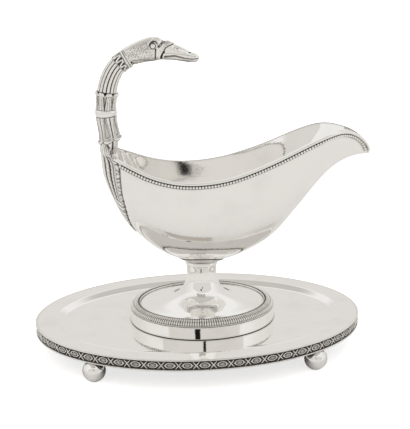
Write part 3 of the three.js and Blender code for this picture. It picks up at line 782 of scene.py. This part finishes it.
def makeRimBeads(r):
    half = r["beadRadius"]
    drop = -(r["lipHigh"] + r["beadDrop"] + half)
    turns = np.linspace(0, 1, 900)
    place, out, up = rimFrames(turns, r["beadClear"])
    away = 0.25 + half - 0.9 * (1 - besideLip(turns))
    line = place + out * away[:, None] + up * drop + boatShift
    beads = int(round(lengthsOf(line)[-1] / r["beadPitch"]))
    values = {"Beads": beads, "Radius": half * mm, "Least": 1.0, "Sides": r["beadSides"],
              "Rings": r["beadRings"], "Look": polished}
    mesh = grownMesh("rimBeads", line, beadThread, values)
    finishPiece("rimBeads", mesh, polished, "boat", ["rim_beads"])
    back = r["backing"]
    section = roundedProfile([
        (0.02, drop + half, 0.1), (back, drop + half * 0.9, 0.1),
        (back * 0.6, drop, 0.1), (back, drop - half * 0.9, 0.2),
        (back * 0.7, drop - half * 1.35, 0.2), (0.02, drop - half * 1.5, 0.1),
    ], closed=True, steps=2)
    turns = np.linspace(0, 1, r["turns"])
    # painted shade behind and between the beads, lighter round the tip of the spout
    shades = [[0.3 + 0.6 * a] for a in besideLip(turns)]
    rings = trimRings(turns, section, r["beadClear"])
    return skinned("beadBacking", rings, oxidised, "boat", ["rim_beads"], dark=shades)


makeRimLip(rimTrim)
makeRimBeads(rimTrim)
print("rim trimmed")


# Collar between the stem and the bowl
bowlWall = BVHTree.FromObject(bpy.data.objects["bowlWall"], bpy.context.evaluated_depsgraph_get())
collar = {
    "base": 66.3, "sides": 128, "clear": 2.1,
    "edge": [(11.0, 0, 0), (12.4, -0.2, 0.4), (12.8, 0.9, 0.4), (12.4, 2.0, 0.4)],
    "under": [  # radius, depth under the bowl and darkness, which is painted shade under the bowl and under the collar's edge
        (12.3, 2.4, 0.6), (13.2, 2.0, 0.55), (15.0, 1.5, 0.5), (17.0, 1.2, 0.35), (18.2, 0.9, 0.3),
        (18.6, 0.5, 0.9), (18.5, 0.1, 0.9), (14.0, -0.3, 0.0), (8, -0.3, 0.0)],
}


def underBowl(radius, turn):
    start = Vector((boatX + radius * math.cos(turn), radius * math.sin(turn), 0)) * mm
    return bowlWall.ray_cast(start, Vector((0, 0, 1)))[0].z / mm


def makeCollar(c):
    turns = np.linspace(0, 2 * math.pi, c["sides"], endpoint=False)
    base = c["base"]
    levels = roundedProfile([(radius, base + rise, bend) for radius, rise, bend in c["edge"]], steps=4)
    rings = [[(boatX + r * math.cos(a), r * math.sin(a), z) for a in turns] for r, z in levels]
    shades = [[0.0]] * len(levels)
    # painted shade on the collar's underside, darkest in the groove under its edge
    for radius, depth, tint in c["under"]:
        rings.append([(boatX + radius * math.cos(a), radius * math.sin(a),
                       max(underBowl(radius, a) - depth, base + c["clear"])) for a in turns])
        shades.append([tint])
    return skinned("stemCollar", rings, polished, "boat", ["stem_collar"], dark=shades)


makeCollar(collar)
print("collar made")


# Handle: castings strung on one line that rises from the rim and bends over the bowl
handle = {
    "line": [(-68.0, 154.5), (-67.7, 160), (-67.3, 165), (-67.6, 170), (-68.4, 176), (-69.3, 183),
             (-69.5, 190), (-69.0, 197), (-68.3, 203), (-67.2, 208.5), (-65.4, 213.6), (-63.0, 218.4),
             (-60.2, 222.2), (-56.9, 225.1), (-53.9, 226.9), (-50.5, 228.8)],
    "calyx": 10.9, "band": 31.0, "cup": 36.1, "neck": 50.6, "scroll": 71.6, "ring": 77.2, "head": 79.2,
}
handleLine = lineThrough([(x, 0, z) for x, z in handle["line"]], 1601)
handleRun = lengthsOf(handleLine)[-1]
handleWay = unit(np.gradient(handleLine, axis=0))


def strungRings(start, stop, steps, sides, shape):
    # shape gives reach, slip along the line and darkness for the turns round it and the share of its length
    turns = np.linspace(0, 2 * math.pi, sides, endpoint=False)
    rings = []
    darks = []
    for share in np.linspace(0, 1, steps):
        at = np.clip((start + (stop - start) * share) / handleRun, 0, 1)
        middle = onLine(handleLine, at)
        ahead = onLine(handleWay, at)
        lift = np.array((-ahead[2], 0, ahead[0]))
        reach, slip, dark = shape(turns, share)
        reach = np.broadcast_to(reach, turns.shape)
        ring = middle + np.outer(reach * np.cos(turns), lift) + np.outer(reach * np.sin(turns), (0, 1, 0))
        ring = ring + np.outer(np.broadcast_to(slip, turns.shape), ahead) + boatShift
        rings.append(ring)
        darks.append(np.broadcast_to(dark, turns.shape))
    return rings, darks


def acrossLeaf(turns, leaves, first):
    # 0 on a leaf's midrib, 1 half way to the next leaf
    pitch = 2 * math.pi / leaves
    return np.abs((turns - first + pitch / 2) % pitch - pitch / 2) * 2 / pitch


def chasing(place, table):
    # rows of place, height in millimetres and darkness
    places, heights, darks = zip(*table)
    return np.interp(place, places, heights), np.interp(place, places, darks)


# Root of the handle, a bundle of stalks on the back of the rim
root = {"stalks": 6, "first": -79, "reach": 6.15, "cove": 1.2, "coveShare": 0.5, "start": 2.2, "overlap": 7,
        "steps": 40, "sides": 192,
        "groove": [(0, 0.05, 0), (0.55, 0, 0.05), (0.8, -0.25, 0.3), (0.93, -0.7, 0.95), (1, -0.8, 1)]}


def makeRoot(r, h):
    def shape(turns, share):
        height, dark = chasing(acrossLeaf(turns, r["stalks"], math.radians(r["first"])), r["groove"])
        cove = r["reach"] - r["cove"] * max(0, 1 - share / r["coveShare"]) ** 1.6
        return cove + height, 0, dark
    rings, darks = strungRings(r["start"], h["calyx"] + r["overlap"], r["steps"], r["sides"], shape)
    return skinned("handleRoot", rings, cast, "boat", ["handle_stalk"], dark=darks)


# Cups of leaves, their tips rolled outwards
calyx = {
    "name": "lowerCalyx", "node": "lower_leaf_calyx", "leaves": 6, "first": -79,
    "radii": (7.75, 8.25), "lean": 0.15, "roll": 1.0, "notch": 1.7, "panel": (0.10, 0.42, 1.3),
    "inner": [(-0.1, -0.25, 0.3), (-0.04, -0.3, 0.6), (0, -0.35, 1), (0.06, 0.2, 0.1), (0.15, 0.22, 0),
              (0.2, -0.1, 0.85), (0.26, 0.28, 0.05)],
    "outer": [(0.8, 0.3, 0), (0.88, 0.25, 0.1), (0.95, -0.3, 0.9), (1, -0.55, 1)],
}
cup = {
    "name": "upperCup", "node": "upper_leaf_cup", "leaves": 8, "first": -103,
    "radii": (7.75, 8.05), "lean": 0.0, "roll": 0.95, "notch": 1.6, "taper": 0.45,
    "front": [(0, 0.3, 0), (0.26, 0.28, 0), (0.36, -0.1, 0.9), (0.5, 0.2, 0.1), (0.78, 0.3, 0),
              (0.9, 0.1, 0.3), (1, -0.35, 1)],
    "back": [(0, -0.6, 0.9), (0.16, -0.55, 0.7), (0.34, -0.3, 0.1), (0.6, -0.35, 0.2), (0.85, -0.6, 0.9),
             (1, -0.6, 1)],
}

leafSides = 256
leafRings = 44
tipRun = 2.3  # of a cup's depth, taken up by the rolled tips
cupFloor = [(0.6, 6.9), (0.55, 6.7)]  # share of the depth, reach
leafTips = [  # how far a rolled tip stands out, how far it drops back, and darkness, a painted shade under and inside the rolled tip
    (0.0, 0.1, 1.0), (0.3, -0.1, 1.0), (0.62, -0.38, 0.8), (0.95, -0.4, 0.1), (1.2, -0.05, 0), (1.3, 0.5, 0),
    (1.2, 1.1, 0), (0.8, 1.7, 0), (0.2, 2.1, 0.1), (-0.45, 2.0, 0.3), (-0.8, 1.2, 0.9)]


def calyxFace(c, v, share):
    # nested borders round a sunk panel that widens to the tip
    low, wide, power = c["panel"]
    panel = low + wide * share ** power
    depth = max(0.0, (share - 0.72) / 0.28)
    q = (v ** 3 + (0.9 * depth) ** 3) ** (1 / 3)
    height, dark = chasing(q - panel, c["inner"])
    edgeHeight, edgeDark = chasing(v, c["outer"])
    rim = v > 0.8
    dark = np.where(q < panel - 0.05, dark + 0.5 * max(0.0, 0.5 - share), dark)
    height = np.where(rim, np.minimum(height, edgeHeight), height)
    return height, np.clip(np.where(rim, np.maximum(edgeDark, dark), dark), 0, 1)


def cupFace(c, v, share):
    # front leaves taper to their tips and show the ribs of the leaves behind
    edge = 1 - c["taper"] * share ** 0.8
    front, frontDark = chasing(v / edge, c["front"])
    back, backDark = chasing((1 - v) / max(1 - edge, 0.02), c["back"])
    frontDark = np.where(v / edge < 0.3, 0.0, frontDark)
    return np.where(v < edge, front, back), np.where(v < edge, frontDark, backDark)


def makeLeafCup(c, start, mouth, face):
    way = 1 if mouth > start else -1
    run = abs(mouth - start) - tipRun
    rootReach, tipReach = c["radii"]
    first = math.radians(c["first"])
    rings = []
    darks = []

    def lay(depth, extra, drop, mask, tint):
        def shape(turns, _):
            v = acrossLeaf(turns, c["leaves"], first)
            share = min(depth / run, 1.0)
            height, dark = face(c, v, share)
            swell = np.sqrt(np.clip(1 - (v / 0.93) ** 2, 0, 1))
            reach = rootReach + (tipReach - rootReach) * share ** 2
            reach = reach - 0.3 * math.sin(math.pi * share) - 0.3 * v * v
            reach = reach + height * (1 - mask) + (extra * swell if extra > 0 else extra)
            slip = way * (drop * (0.35 + 0.65 * swell) - c["notch"] * mask * v ** 3)
            slip = slip - c["lean"] * share * reach * np.cos(turns)
            return reach, slip, dark * (1 - mask) + tint * mask
        string(depth, shape)

    def string(depth, shape):
        ring, shade = strungRings(start + way * depth, start + way * depth, 1, leafSides, shape)
        rings.extend(ring)
        darks.extend(shade)

    for depth in np.linspace(0, run, leafRings):
        lay(depth, 0, 0, 0, 0)
    # the rolled tips, with painted shade under them
    for extra, drop, tint in leafTips:
        lay(run, extra * c["roll"] if extra > 0 else extra, drop, 1, tint)
    # the floor inside the cup is painted dark, as shade
    for share, reach in cupFloor:
        string(run * share, lambda turns, _: (reach, 0, 0.9))
    return skinned(c["name"], rings, cast, "boat", [c["node"]], dark=darks)


ringCut = {"wide": 0.1, "deep": 0.35, "dark": 0.95, "endDark": 0.85, "steps": 41, "sides": 96}


def plainRing(name, node, start, stop, reach, ends, look, groove=None):
    def shape(turns, share):
        cut = 0 if groove is None else math.exp(-((share - groove) / ringCut["wide"]) ** 2)
        swell = math.sin(math.pi * share) ** 0.4
        dark = ringCut["endDark"] if share in (0, 1) else ringCut["dark"] * cut
        return ends + (reach - ends) * swell - ringCut["deep"] * cut, 0, dark
    rings, darks = strungRings(start, stop, ringCut["steps"], ringCut["sides"], shape)
    return skinned(name, rings, look, "boat", [node], dark=darks)


# Reeded neck and the collar of running scrolls above it
neck = {
    "reeds": 15, "body": (7.6, 6.85), "foot": 6.3, "spigot": 5.6, "steps": 70, "reedSides": 20,
    "reed": [(0, 0, 0), (0.35, -0.08, 0), (0.66, -0.3, 0.05), (0.8, -0.65, 0.75), (0.9, -0.9, 1),
             (1, -0.95, 1)],
}


def makeNeck(n, h):
    wide, slim = n["body"]

    def shape(turns, share):
        height, dark = chasing(acrossLeaf(turns, n["reeds"], 0), n["reed"])
        foot = min(1.0, max(0.0, (share - 0.12) / 0.05))
        fade = min(1.0, (1 - share) / 0.03)
        body = n["foot"] + (wide + (slim - wide) * share - n["foot"]) * foot
        # painted shade where the neck goes down into the cup
        return body + height * foot * (0.4 + 0.6 * fade), 0, np.maximum(dark, 1 - foot)
    sides = n["reeds"] * n["reedSides"]
    rings, darks = strungRings(h["neck"] - n["spigot"], h["scroll"] - 0.2, n["steps"], sides, shape)
    return skinned("reededNeck", rings, cast, "boat", ["fluted_neck"], dark=darks)


def fromLine(x, z, line):
    # distance of each place to a line of points, and the share of the line where it is nearest
    best = np.full(np.shape(x), 1e9)
    share = np.zeros(np.shape(x))
    spans = len(line) - 1
    for i in range(spans):
        (ax, az), (bx, bz) = line[i], line[i + 1]
        run = (bx - ax) ** 2 + (bz - az) ** 2
        t = np.clip(((x - ax) * (bx - ax) + (z - az) * (bz - az)) / run, 0, 1)
        away = np.hypot(x - ax - t * (bx - ax), z - az - t * (bz - az))
        share = np.where(away < best, (i + t) / spans, share)
        best = np.minimum(best, away)
    return best, share


wave = {
    "count": 10, "reach": (6.75, 7.0), "relief": 0.55, "lip": 0.35, "wide": 4.3, "tall": 5.4, "half": 0.68,
    "bevel": 0.18, "border": 0.09, "steps": 44, "sides": 320,
    "hook": [(0.0, 2.2), (0.1, 0.9), (1.3, 0.8), (1.7, 1.8), (2.2, 3.4), (2.6, 4.5), (4.0, 4.5), (4.2, 3.2)],
}


def makeWaveCollar(w, h):
    low, high = w["reach"]

    def shape(turns, share):
        across = (turns * w["count"] / (2 * math.pi)) % 1
        away = np.full(len(turns), 9.0)
        for step in (-1, 0, 1):
            reach, _ = fromLine((across + step) * w["wide"], share * w["tall"], w["hook"])
            away = np.minimum(away, reach)
        raised = np.clip((w["half"] - away) / w["bevel"], 0, 1)
        edge = max(0.0, 1 - min(share, 1 - share) / w["border"])
        raised = np.maximum(raised, min(1.0, edge * 1.5))
        lip = w["lip"] * max(0.0, 1 - share / 0.08)
        return low + (high - low) * share + w["relief"] * raised + lip, 0, (1 - raised) * 0.95
    rings, darks = strungRings(h["scroll"], h["ring"] - 0.25, w["steps"], w["sides"], shape)
    return skinned("waveCollar", rings, cast, "boat", ["scroll_collar"], dark=darks)


makeRoot(root, handle)
makeLeafCup(calyx, handle["band"] - 0.25, handle["calyx"], calyxFace)
plainRing("plainBand", "handle_band", handle["band"], handle["cup"], 8.25, 7.5, polished)
makeLeafCup(cup, handle["cup"] + 0.25, handle["neck"] - 1, cupFace)
makeNeck(neck, handle)
makeWaveCollar(wave, handle)
neckEnd = handle["head"] + 1.3  # where the ring meets the head
plainRing("neckRing", "neck_ring", handle["ring"], neckEnd, 7.6, 6.9, polished, 0.55)
print("handle strung")


# Swan's head: sections from crown to throat and half their width, then what is chased on them in x and z
swan = {
    "sections": [(-55.6, 234.9, -48.4, 223.0, 6.9), (-50.5, 237.6, -43.8, 223.9, 7.4),
                 (-43, 240.9, -38.3, 224.9, 7.6), (-35.5, 243, -33.5, 225.3, 7.2),
                 (-29, 242.8, -29.5, 225.8, 6.4), (-25.2, 240.3, -26, 226.1, 5.6),
                 (-21.2, 240.2, -22.5, 226, 5.3), (-17.5, 237.8, -18.5, 225.7, 5.1),
                 (-11.6, 235, -11.8, 224.5, 4.8), (-5.6, 231.6, -5.7, 223.6, 4.1),
                 (-0.8, 229.5, -1, 223.7, 2.9), (1.2, 227.6, 0.8, 225.3, 1.5)],
    "steps": 360, "sides": 160, "feathers": (-55, -33), "knob": (-26, -19, 237.6),
    "eye": (-34.1, 237.2, 1.75),
    "dots": [(-25.9, 232.4, 0.8, 1.0), (-6.6, 231.5, 0.8, 1.0), (-18.0, 235.3, 0.5, 0.6),
             (-16.1, 234.7, 0.6, 0.7), (-50.0, 225.4, 0.8, 1.0), (-48.2, 224.6, 0.7, 0.9),
             (-37.5, 237.4, 0.7, 0.6), (-38.6, 235.9, 0.8, 0.5)],
    "cuts": [  # line, half width at its start and end, depth, darkness
        ([(-36.4, 238.0), (-35.6, 239.7), (-33.8, 240.7), (-32.0, 240.4),
          (-30.7, 238.8)], 0.4, 0.4, 0.35, 1.0),
        ([(-34.7, 239.6), (-33.2, 239.6)], 0.3, 0.3, 0.1, 0.8),
        ([(-32.1, 235.1), (-32.3, 231.4), (-32.4, 226.8)], 0.4, 0.4, 0.5, 0.9),
        ([(-18.8, 237.9), (-22.9, 236.7), (-24.7, 235.5), (-25.7, 233.7),
          (-26.0, 232.4)], 0.3, 0.35, 0.4, 0.9),
        ([(-26.0, 232.4), (-27.0, 231.2), (-27.9, 229.0), (-28.0, 226.9)], 0.4, 0.85, 0.6, 1.0),
        ([(-25.2, 228.4), (-23.0, 228.7), (-17.8, 229.1), (-14.2, 228.1), (-10.5, 227.0), (-5.3, 226.2),
          (-0.9, 226.5)],
         0.75, 0.3, 0.45, 0.8),
        ([(-25.2, 226.9), (-17.9, 226.3), (-12.7, 225.5), (-9.0, 224.9),
          (-5.7, 224.0)], 0.3, 0.4, 0.3, 0.75),
        ([(-25.1, 231.3), (-21.5, 231.4), (-15.6, 230.7), (-8.2, 229.4),
          (-2.3, 228.1)], 0.25, 0.2, 0.15, 0.35),
        ([(-48.8, 226.7), (-43.6, 227.1), (-37.8, 226.8), (-32.6, 226.5)], 0.4, 0.35, 0.25, 0.6),
    ],
    "ridges": [  # line, half width, height
        ([(-37.4, 238.2), (-36.2, 240.6), (-33.9, 241.8), (-31.4, 241.2), (-29.6, 238.8)], 0.5, 0.4),
        ([(-17.8, 238.6), (-22.4, 237.7), (-25.4, 236.4), (-27.0, 233.6), (-28.6, 231.0),
          (-29.4, 227.0)], 0.6, 0.4),
    ],
    "hatch": [(-25.8, 240.1), (-27.2, 238.9), (-28.6, 237.5), (-29.6, 236.8)],
}


def headChasing(s, x, z, crown):
    # crown is 1 on the top of the head and -1 under its throat
    height = np.zeros(np.shape(x))
    dark = np.zeros(np.shape(x))
    down = np.sin(2.6 * x + 1.4 * np.sin(1.9 * z)) * np.sin(2.9 * z + 1.3 * np.sin(2.2 * x + 0.7))
    nape, cheek = s["feathers"]
    feathers = np.clip((x - nape) / 3, 0, 1) * np.clip((cheek - x) / 2, 0, 1)
    feathers *= np.clip((0.86 - crown) / 0.3, 0, 1)
    height -= 0.14 * np.clip(down, 0, 1) * feathers
    dark += 0.6 * np.clip((down - 0.2) / 0.5, 0, 1) * feathers
    fine = np.sin(6.1 * x + 2.0 * np.sin(4.3 * z)) * np.sin(5.7 * z + 1.9 * np.sin(4.9 * x))
    dark += 0.25 * np.clip(fine, 0, 1) * feathers
    start, stop, low = s["knob"]
    knob = np.clip((x - start) / 1.5, 0, 1) * np.clip((stop - x) / 2, 0, 1) * np.clip(z - low, 0, 1)
    dark += 0.5 * knob * np.clip(fine + 0.3, 0, 1)
    # painted shade under the throat
    dark += 0.35 * np.clip((-0.72 - crown) / 0.15, 0, 1)
    for line, half, rise in s["ridges"]:
        away, _ = fromLine(x, z, line)
        height += rise * np.exp(-(away / half) ** 2)
        dark *= 1 - 0.8 * np.exp(-(away / half) ** 2)
    away, share = fromLine(x, z, s["hatch"])
    cells = 0.5 + 0.5 * np.sin(share * 22) * np.sin(away * 5 + share * 9)
    band = np.clip((1.25 - away) / 0.4, 0, 1)
    height -= 0.25 * band * (1 - cells)
    dark = np.maximum(dark, band * (0.35 + 0.65 * (cells < 0.55)))
    eyeX, eyeZ, size = s["eye"]
    away = np.hypot(x - eyeX, z - eyeZ)
    inside = away < size
    height = np.where(inside, 0.95 * np.sqrt(np.clip(1 - (away / size) ** 2, 0, 1)), height)
    rounded = np.exp(-((away - size - 0.25) / 0.42) ** 2)
    height -= 0.25 * rounded * ~inside
    dark = np.where(inside, 0.0, np.maximum(dark, rounded))
    for line, first, last, depth, tint in s["cuts"]:
        away, share = fromLine(x, z, line)
        half = first + (last - first) * share
        cut = np.clip((half * 1.5 - away) / (half * 0.75), 0, 1)
        height -= depth * cut
        dark = np.maximum(dark, tint * cut)
    for dotX, dotZ, size, tint in s["dots"]:
        cut = np.clip((size * 1.3 - np.hypot(x - dotX, z - dotZ)) / (size * 0.6), 0, 1)
        height -= 0.4 * cut
        dark = np.maximum(dark, tint * cut)
    return height, np.clip(dark, 0, 1)


def makeSwanHead(s):
    sections = lineThrough(s["sections"], s["steps"])
    turns = np.linspace(0, 2 * math.pi, s["sides"], endpoint=False)
    rings = []
    darks = []
    for crownX, crownZ, throatX, throatZ, half in sections:
        middle = np.array(((crownX + throatX) / 2 + boatX, 0, (crownZ + throatZ) / 2))
        rise = np.array(((crownX - throatX) / 2, 0, (crownZ - throatZ) / 2))
        wide = np.sign(np.sin(turns)) * np.abs(np.sin(turns)) ** 0.85
        ring = middle + np.outer(np.cos(turns), rise) + np.outer(half * wide, (0, 1, 0))
        out = np.outer(np.cos(turns), rise / np.linalg.norm(rise)) + np.outer(np.sin(turns), (0, 1, 0))
        height, dark = headChasing(s, ring[:, 0], ring[:, 2], np.cos(turns))
        blunt = np.clip(np.linalg.norm(rise) / 2.5, 0, 1)
        rings.append(ring + out * (height * blunt)[:, None])
        darks.append(dark)
    darks[0] = np.full(len(turns), 0.9)
    return skinned("swanHead", rings, cast, "boat", ["swan_head"], dark=darks)


makeSwanHead(swan)
print("swan's head made")


# Leaf spray on the bowl's back: lances over leaflets in a berried border, folded over the rim to the root
spray = {
    "fan": [(165.6, -67.35, 5.9, 5.9), (163.2, -66.5, 6.75, 8.1), (161, -65.2, 8.0, 11.0),
            (159.2, -64.7, 8.4, 13.6)],
    "angle": 1.15,
    "rows": [(157, 14.8), (155, 17.9), (152.5, 20.0), (149, 21.0), (145, 21.2), (140, 21.0), (135, 20.5),
             (130, 19.7), (125, 18.9), (120, 17.8), (115, 16.3), (110, 13.9), (105, 10.6), (100.5, 6.6),
             (97, 3.2), (94.5, 0.5)],
    "crown": [(166, 1.2), (157.5, 1.5), (150, 2.1), (142, 2.6), (131, 1.8), (120, 1.1), (94.5, 0.7)],
    "blades": [(0, -0.25, 0.6), (0.02, 0.05, 0.1), (0.2, 0.3, 0), (0.43, 0.25, 0), (0.46, -0.3, 0.9),
               (0.5, -0.45, 1), (0.53, 0, 0.2), (0.6, 0.35, 0), (0.655, 0.25, 0), (0.685, -0.4, 0.95),
               (0.72, -0.4, 1), (0.75, 0.1, 0.1), (0.79, 0.25, 0), (0.82, -0.3, 0.85), (0.85, 0.15, 0.1),
               (0.88, -0.1, 0.3), (0.97, -0.25, 0.5), (1, -0.35, 0.6)],
    "down": 240, "across": 200, "leaflet": 4.4, "berry": 0.95, "berryPitch": 2.5, "berried": 0.16,
    "lances": 126, "fold": 156.5, "border": 0.88, "grapes": 3.3,
}


def betweenRows(grid, count):
    # smooth rows between the rows given
    grid = np.asarray(grid)
    last = len(grid) - 1
    at = np.linspace(0, last, count)
    i = np.clip(np.floor(at).astype(int), 0, last - 1)
    t = (at - i).reshape((-1,) + (1,) * (grid.ndim - 1))
    a, b, c, d = grid[np.maximum(i - 1, 0)], grid[i], grid[i + 1], grid[np.minimum(i + 2, last)]
    return b + 0.5 * t * (c - a + t * (2 * a - 5 * b + 4 * c - d + t * (3 * b - 3 * c + d - a)))


def sprayBed(s):
    # the surface that the spray lies on, from the handle's root down the bowl
    shares = np.linspace(-1, 1, s["across"] + 1)
    rows = []
    for z, middleX, reachX, reachY in s["fan"]:
        turns = shares * s["angle"]
        rows.append([(middleX + boatX - reachX * math.cos(a), reachY * math.sin(a), z) for a in turns])
    for z, half in s["rows"]:
        row = []
        for a in shares:
            spot = bowlWall.ray_cast(Vector((-110, a * half, z)) * mm, Vector((1, 0, 0)))[0]
            row.append((spot.x / mm, spot.y / mm, spot.z / mm))
        rows.append(row)
    bed = betweenRows(rows, s["down"])
    out = np.cross(np.gradient(bed, axis=0), np.gradient(bed, axis=1))
    out /= np.maximum(np.linalg.norm(out, axis=2, keepdims=True), 1e-9)
    out *= np.where(out[:, :, :1] > 0, -1, 1)
    return bed, out, shares


def makeSpray(s):
    bed, out, shares = sprayBed(s)
    c = np.abs(shares)[None, :] + 0 * bed[:, :, 2]
    z = bed[:, :, 2]
    crown = np.interp(z, [p for p, _ in s["crown"]][::-1], [h for _, h in s["crown"]][::-1])
    height, dark = chasing(c, s["blades"])
    turn = 2 * math.pi * (z / s["leaflet"] + 1.9 * c)
    leaflet = 0.5 + 0.5 * np.cos(turn)
    lower = np.clip((s["lances"] - z) / 4, 0, 1)  # lances above it, leaflets below
    leafletDark = 0.8 * np.clip((0.3 - leaflet) / 0.2, 0, 1)
    height = height * (1 - lower) + lower * (0.55 * leaflet - 0.35 - 0.3 * (c < 0.05))
    dark = dark * (1 - lower) + lower * np.maximum(leafletDark, 0.8 * (c < 0.05))
    veins = np.clip((c - 0.56) / 0.02, 0, 1) * np.clip((0.78 - c) / 0.02, 0, 1) * (1 - lower)
    height += veins * 0.12 * np.cos(turn * 1.5)
    dark = np.clip(dark + veins * 0.25 * (np.cos(turn * 1.5) < -0.5), 0, 1)
    border = np.clip((c - s["border"]) / 0.02, 0, 1)
    row = (z + 0.5 * np.sin(0.9 * z)) % s["grapes"] - s["grapes"] / 2
    grape = np.exp(-(row / 1.0) ** 2 - ((c - 0.925 - 0.012 * np.sin(1.1 * z)) / 0.035) ** 2)
    height = height + 0.45 * border * grape
    dark = dark * (1 - border) + border * np.clip(0.85 - 1.4 * grape, 0, 1)
    folded = np.clip((z - s["fold"]) / 2.5, 0, 1)
    dark = dark * (1 - 0.75 * folded)
    height = height * (1 - 0.5 * folded)
    swell = 0.35 + 0.5 * np.sqrt(np.clip(1 - c ** 6, 0, 1)) + crown * (1 - c ** 2)
    over = bed + out * (swell + height)[:, :, None]
    under = bed - out * 0.2
    down, across = c.shape
    faces = gridFaces(down, across, wrapColumns=False)
    shift = down * across
    faces += [tuple(reversed([shift + k for k in f])) for f in faces]
    edge = [i * across for i in range(down)] + [shift - across + k for k in range(1, across)]
    edge += [i * across + across - 1 for i in range(down - 2, -1, -1)] + list(range(across - 2, 0, -1))
    for k, a in enumerate(edge):
        b = edge[(k + 1) % len(edge)]
        faces.append((a, b, shift + b, shift + a))
    # the underside, and so the spray's edges, painted dark as shade where it lies on the bowl
    shades = np.concatenate([np.full(shift, 0.9), dark.ravel()])
    points = list(under.reshape(-1, 3)) + list(over.reshape(-1, 3))
    makePiece("bowlLeafSpray", points, faces, cast, "boat", ["bowl_leaf"], dark=shades)
    for side, column in (("right", 5), ("left", -6)):
        line = (bed + out * 0.45)[int(s["down"] * s["berried"]):-6, column]
        berries = int(lengthsOf(line)[-1] / s["berryPitch"])
        values = {"Beads": berries, "Radius": s["berry"] * mm, "Least": 0.55, "Sides": 10, "Rings": 6,
                  "Look": cast}
        mesh = grownMesh("sprayBerries." + side, line, beadThread, values)
        finishPiece("sprayBerries." + side, mesh, cast, "boat", ["bowl_leaf"])


makeSpray(spray)
print("leaf spray laid")
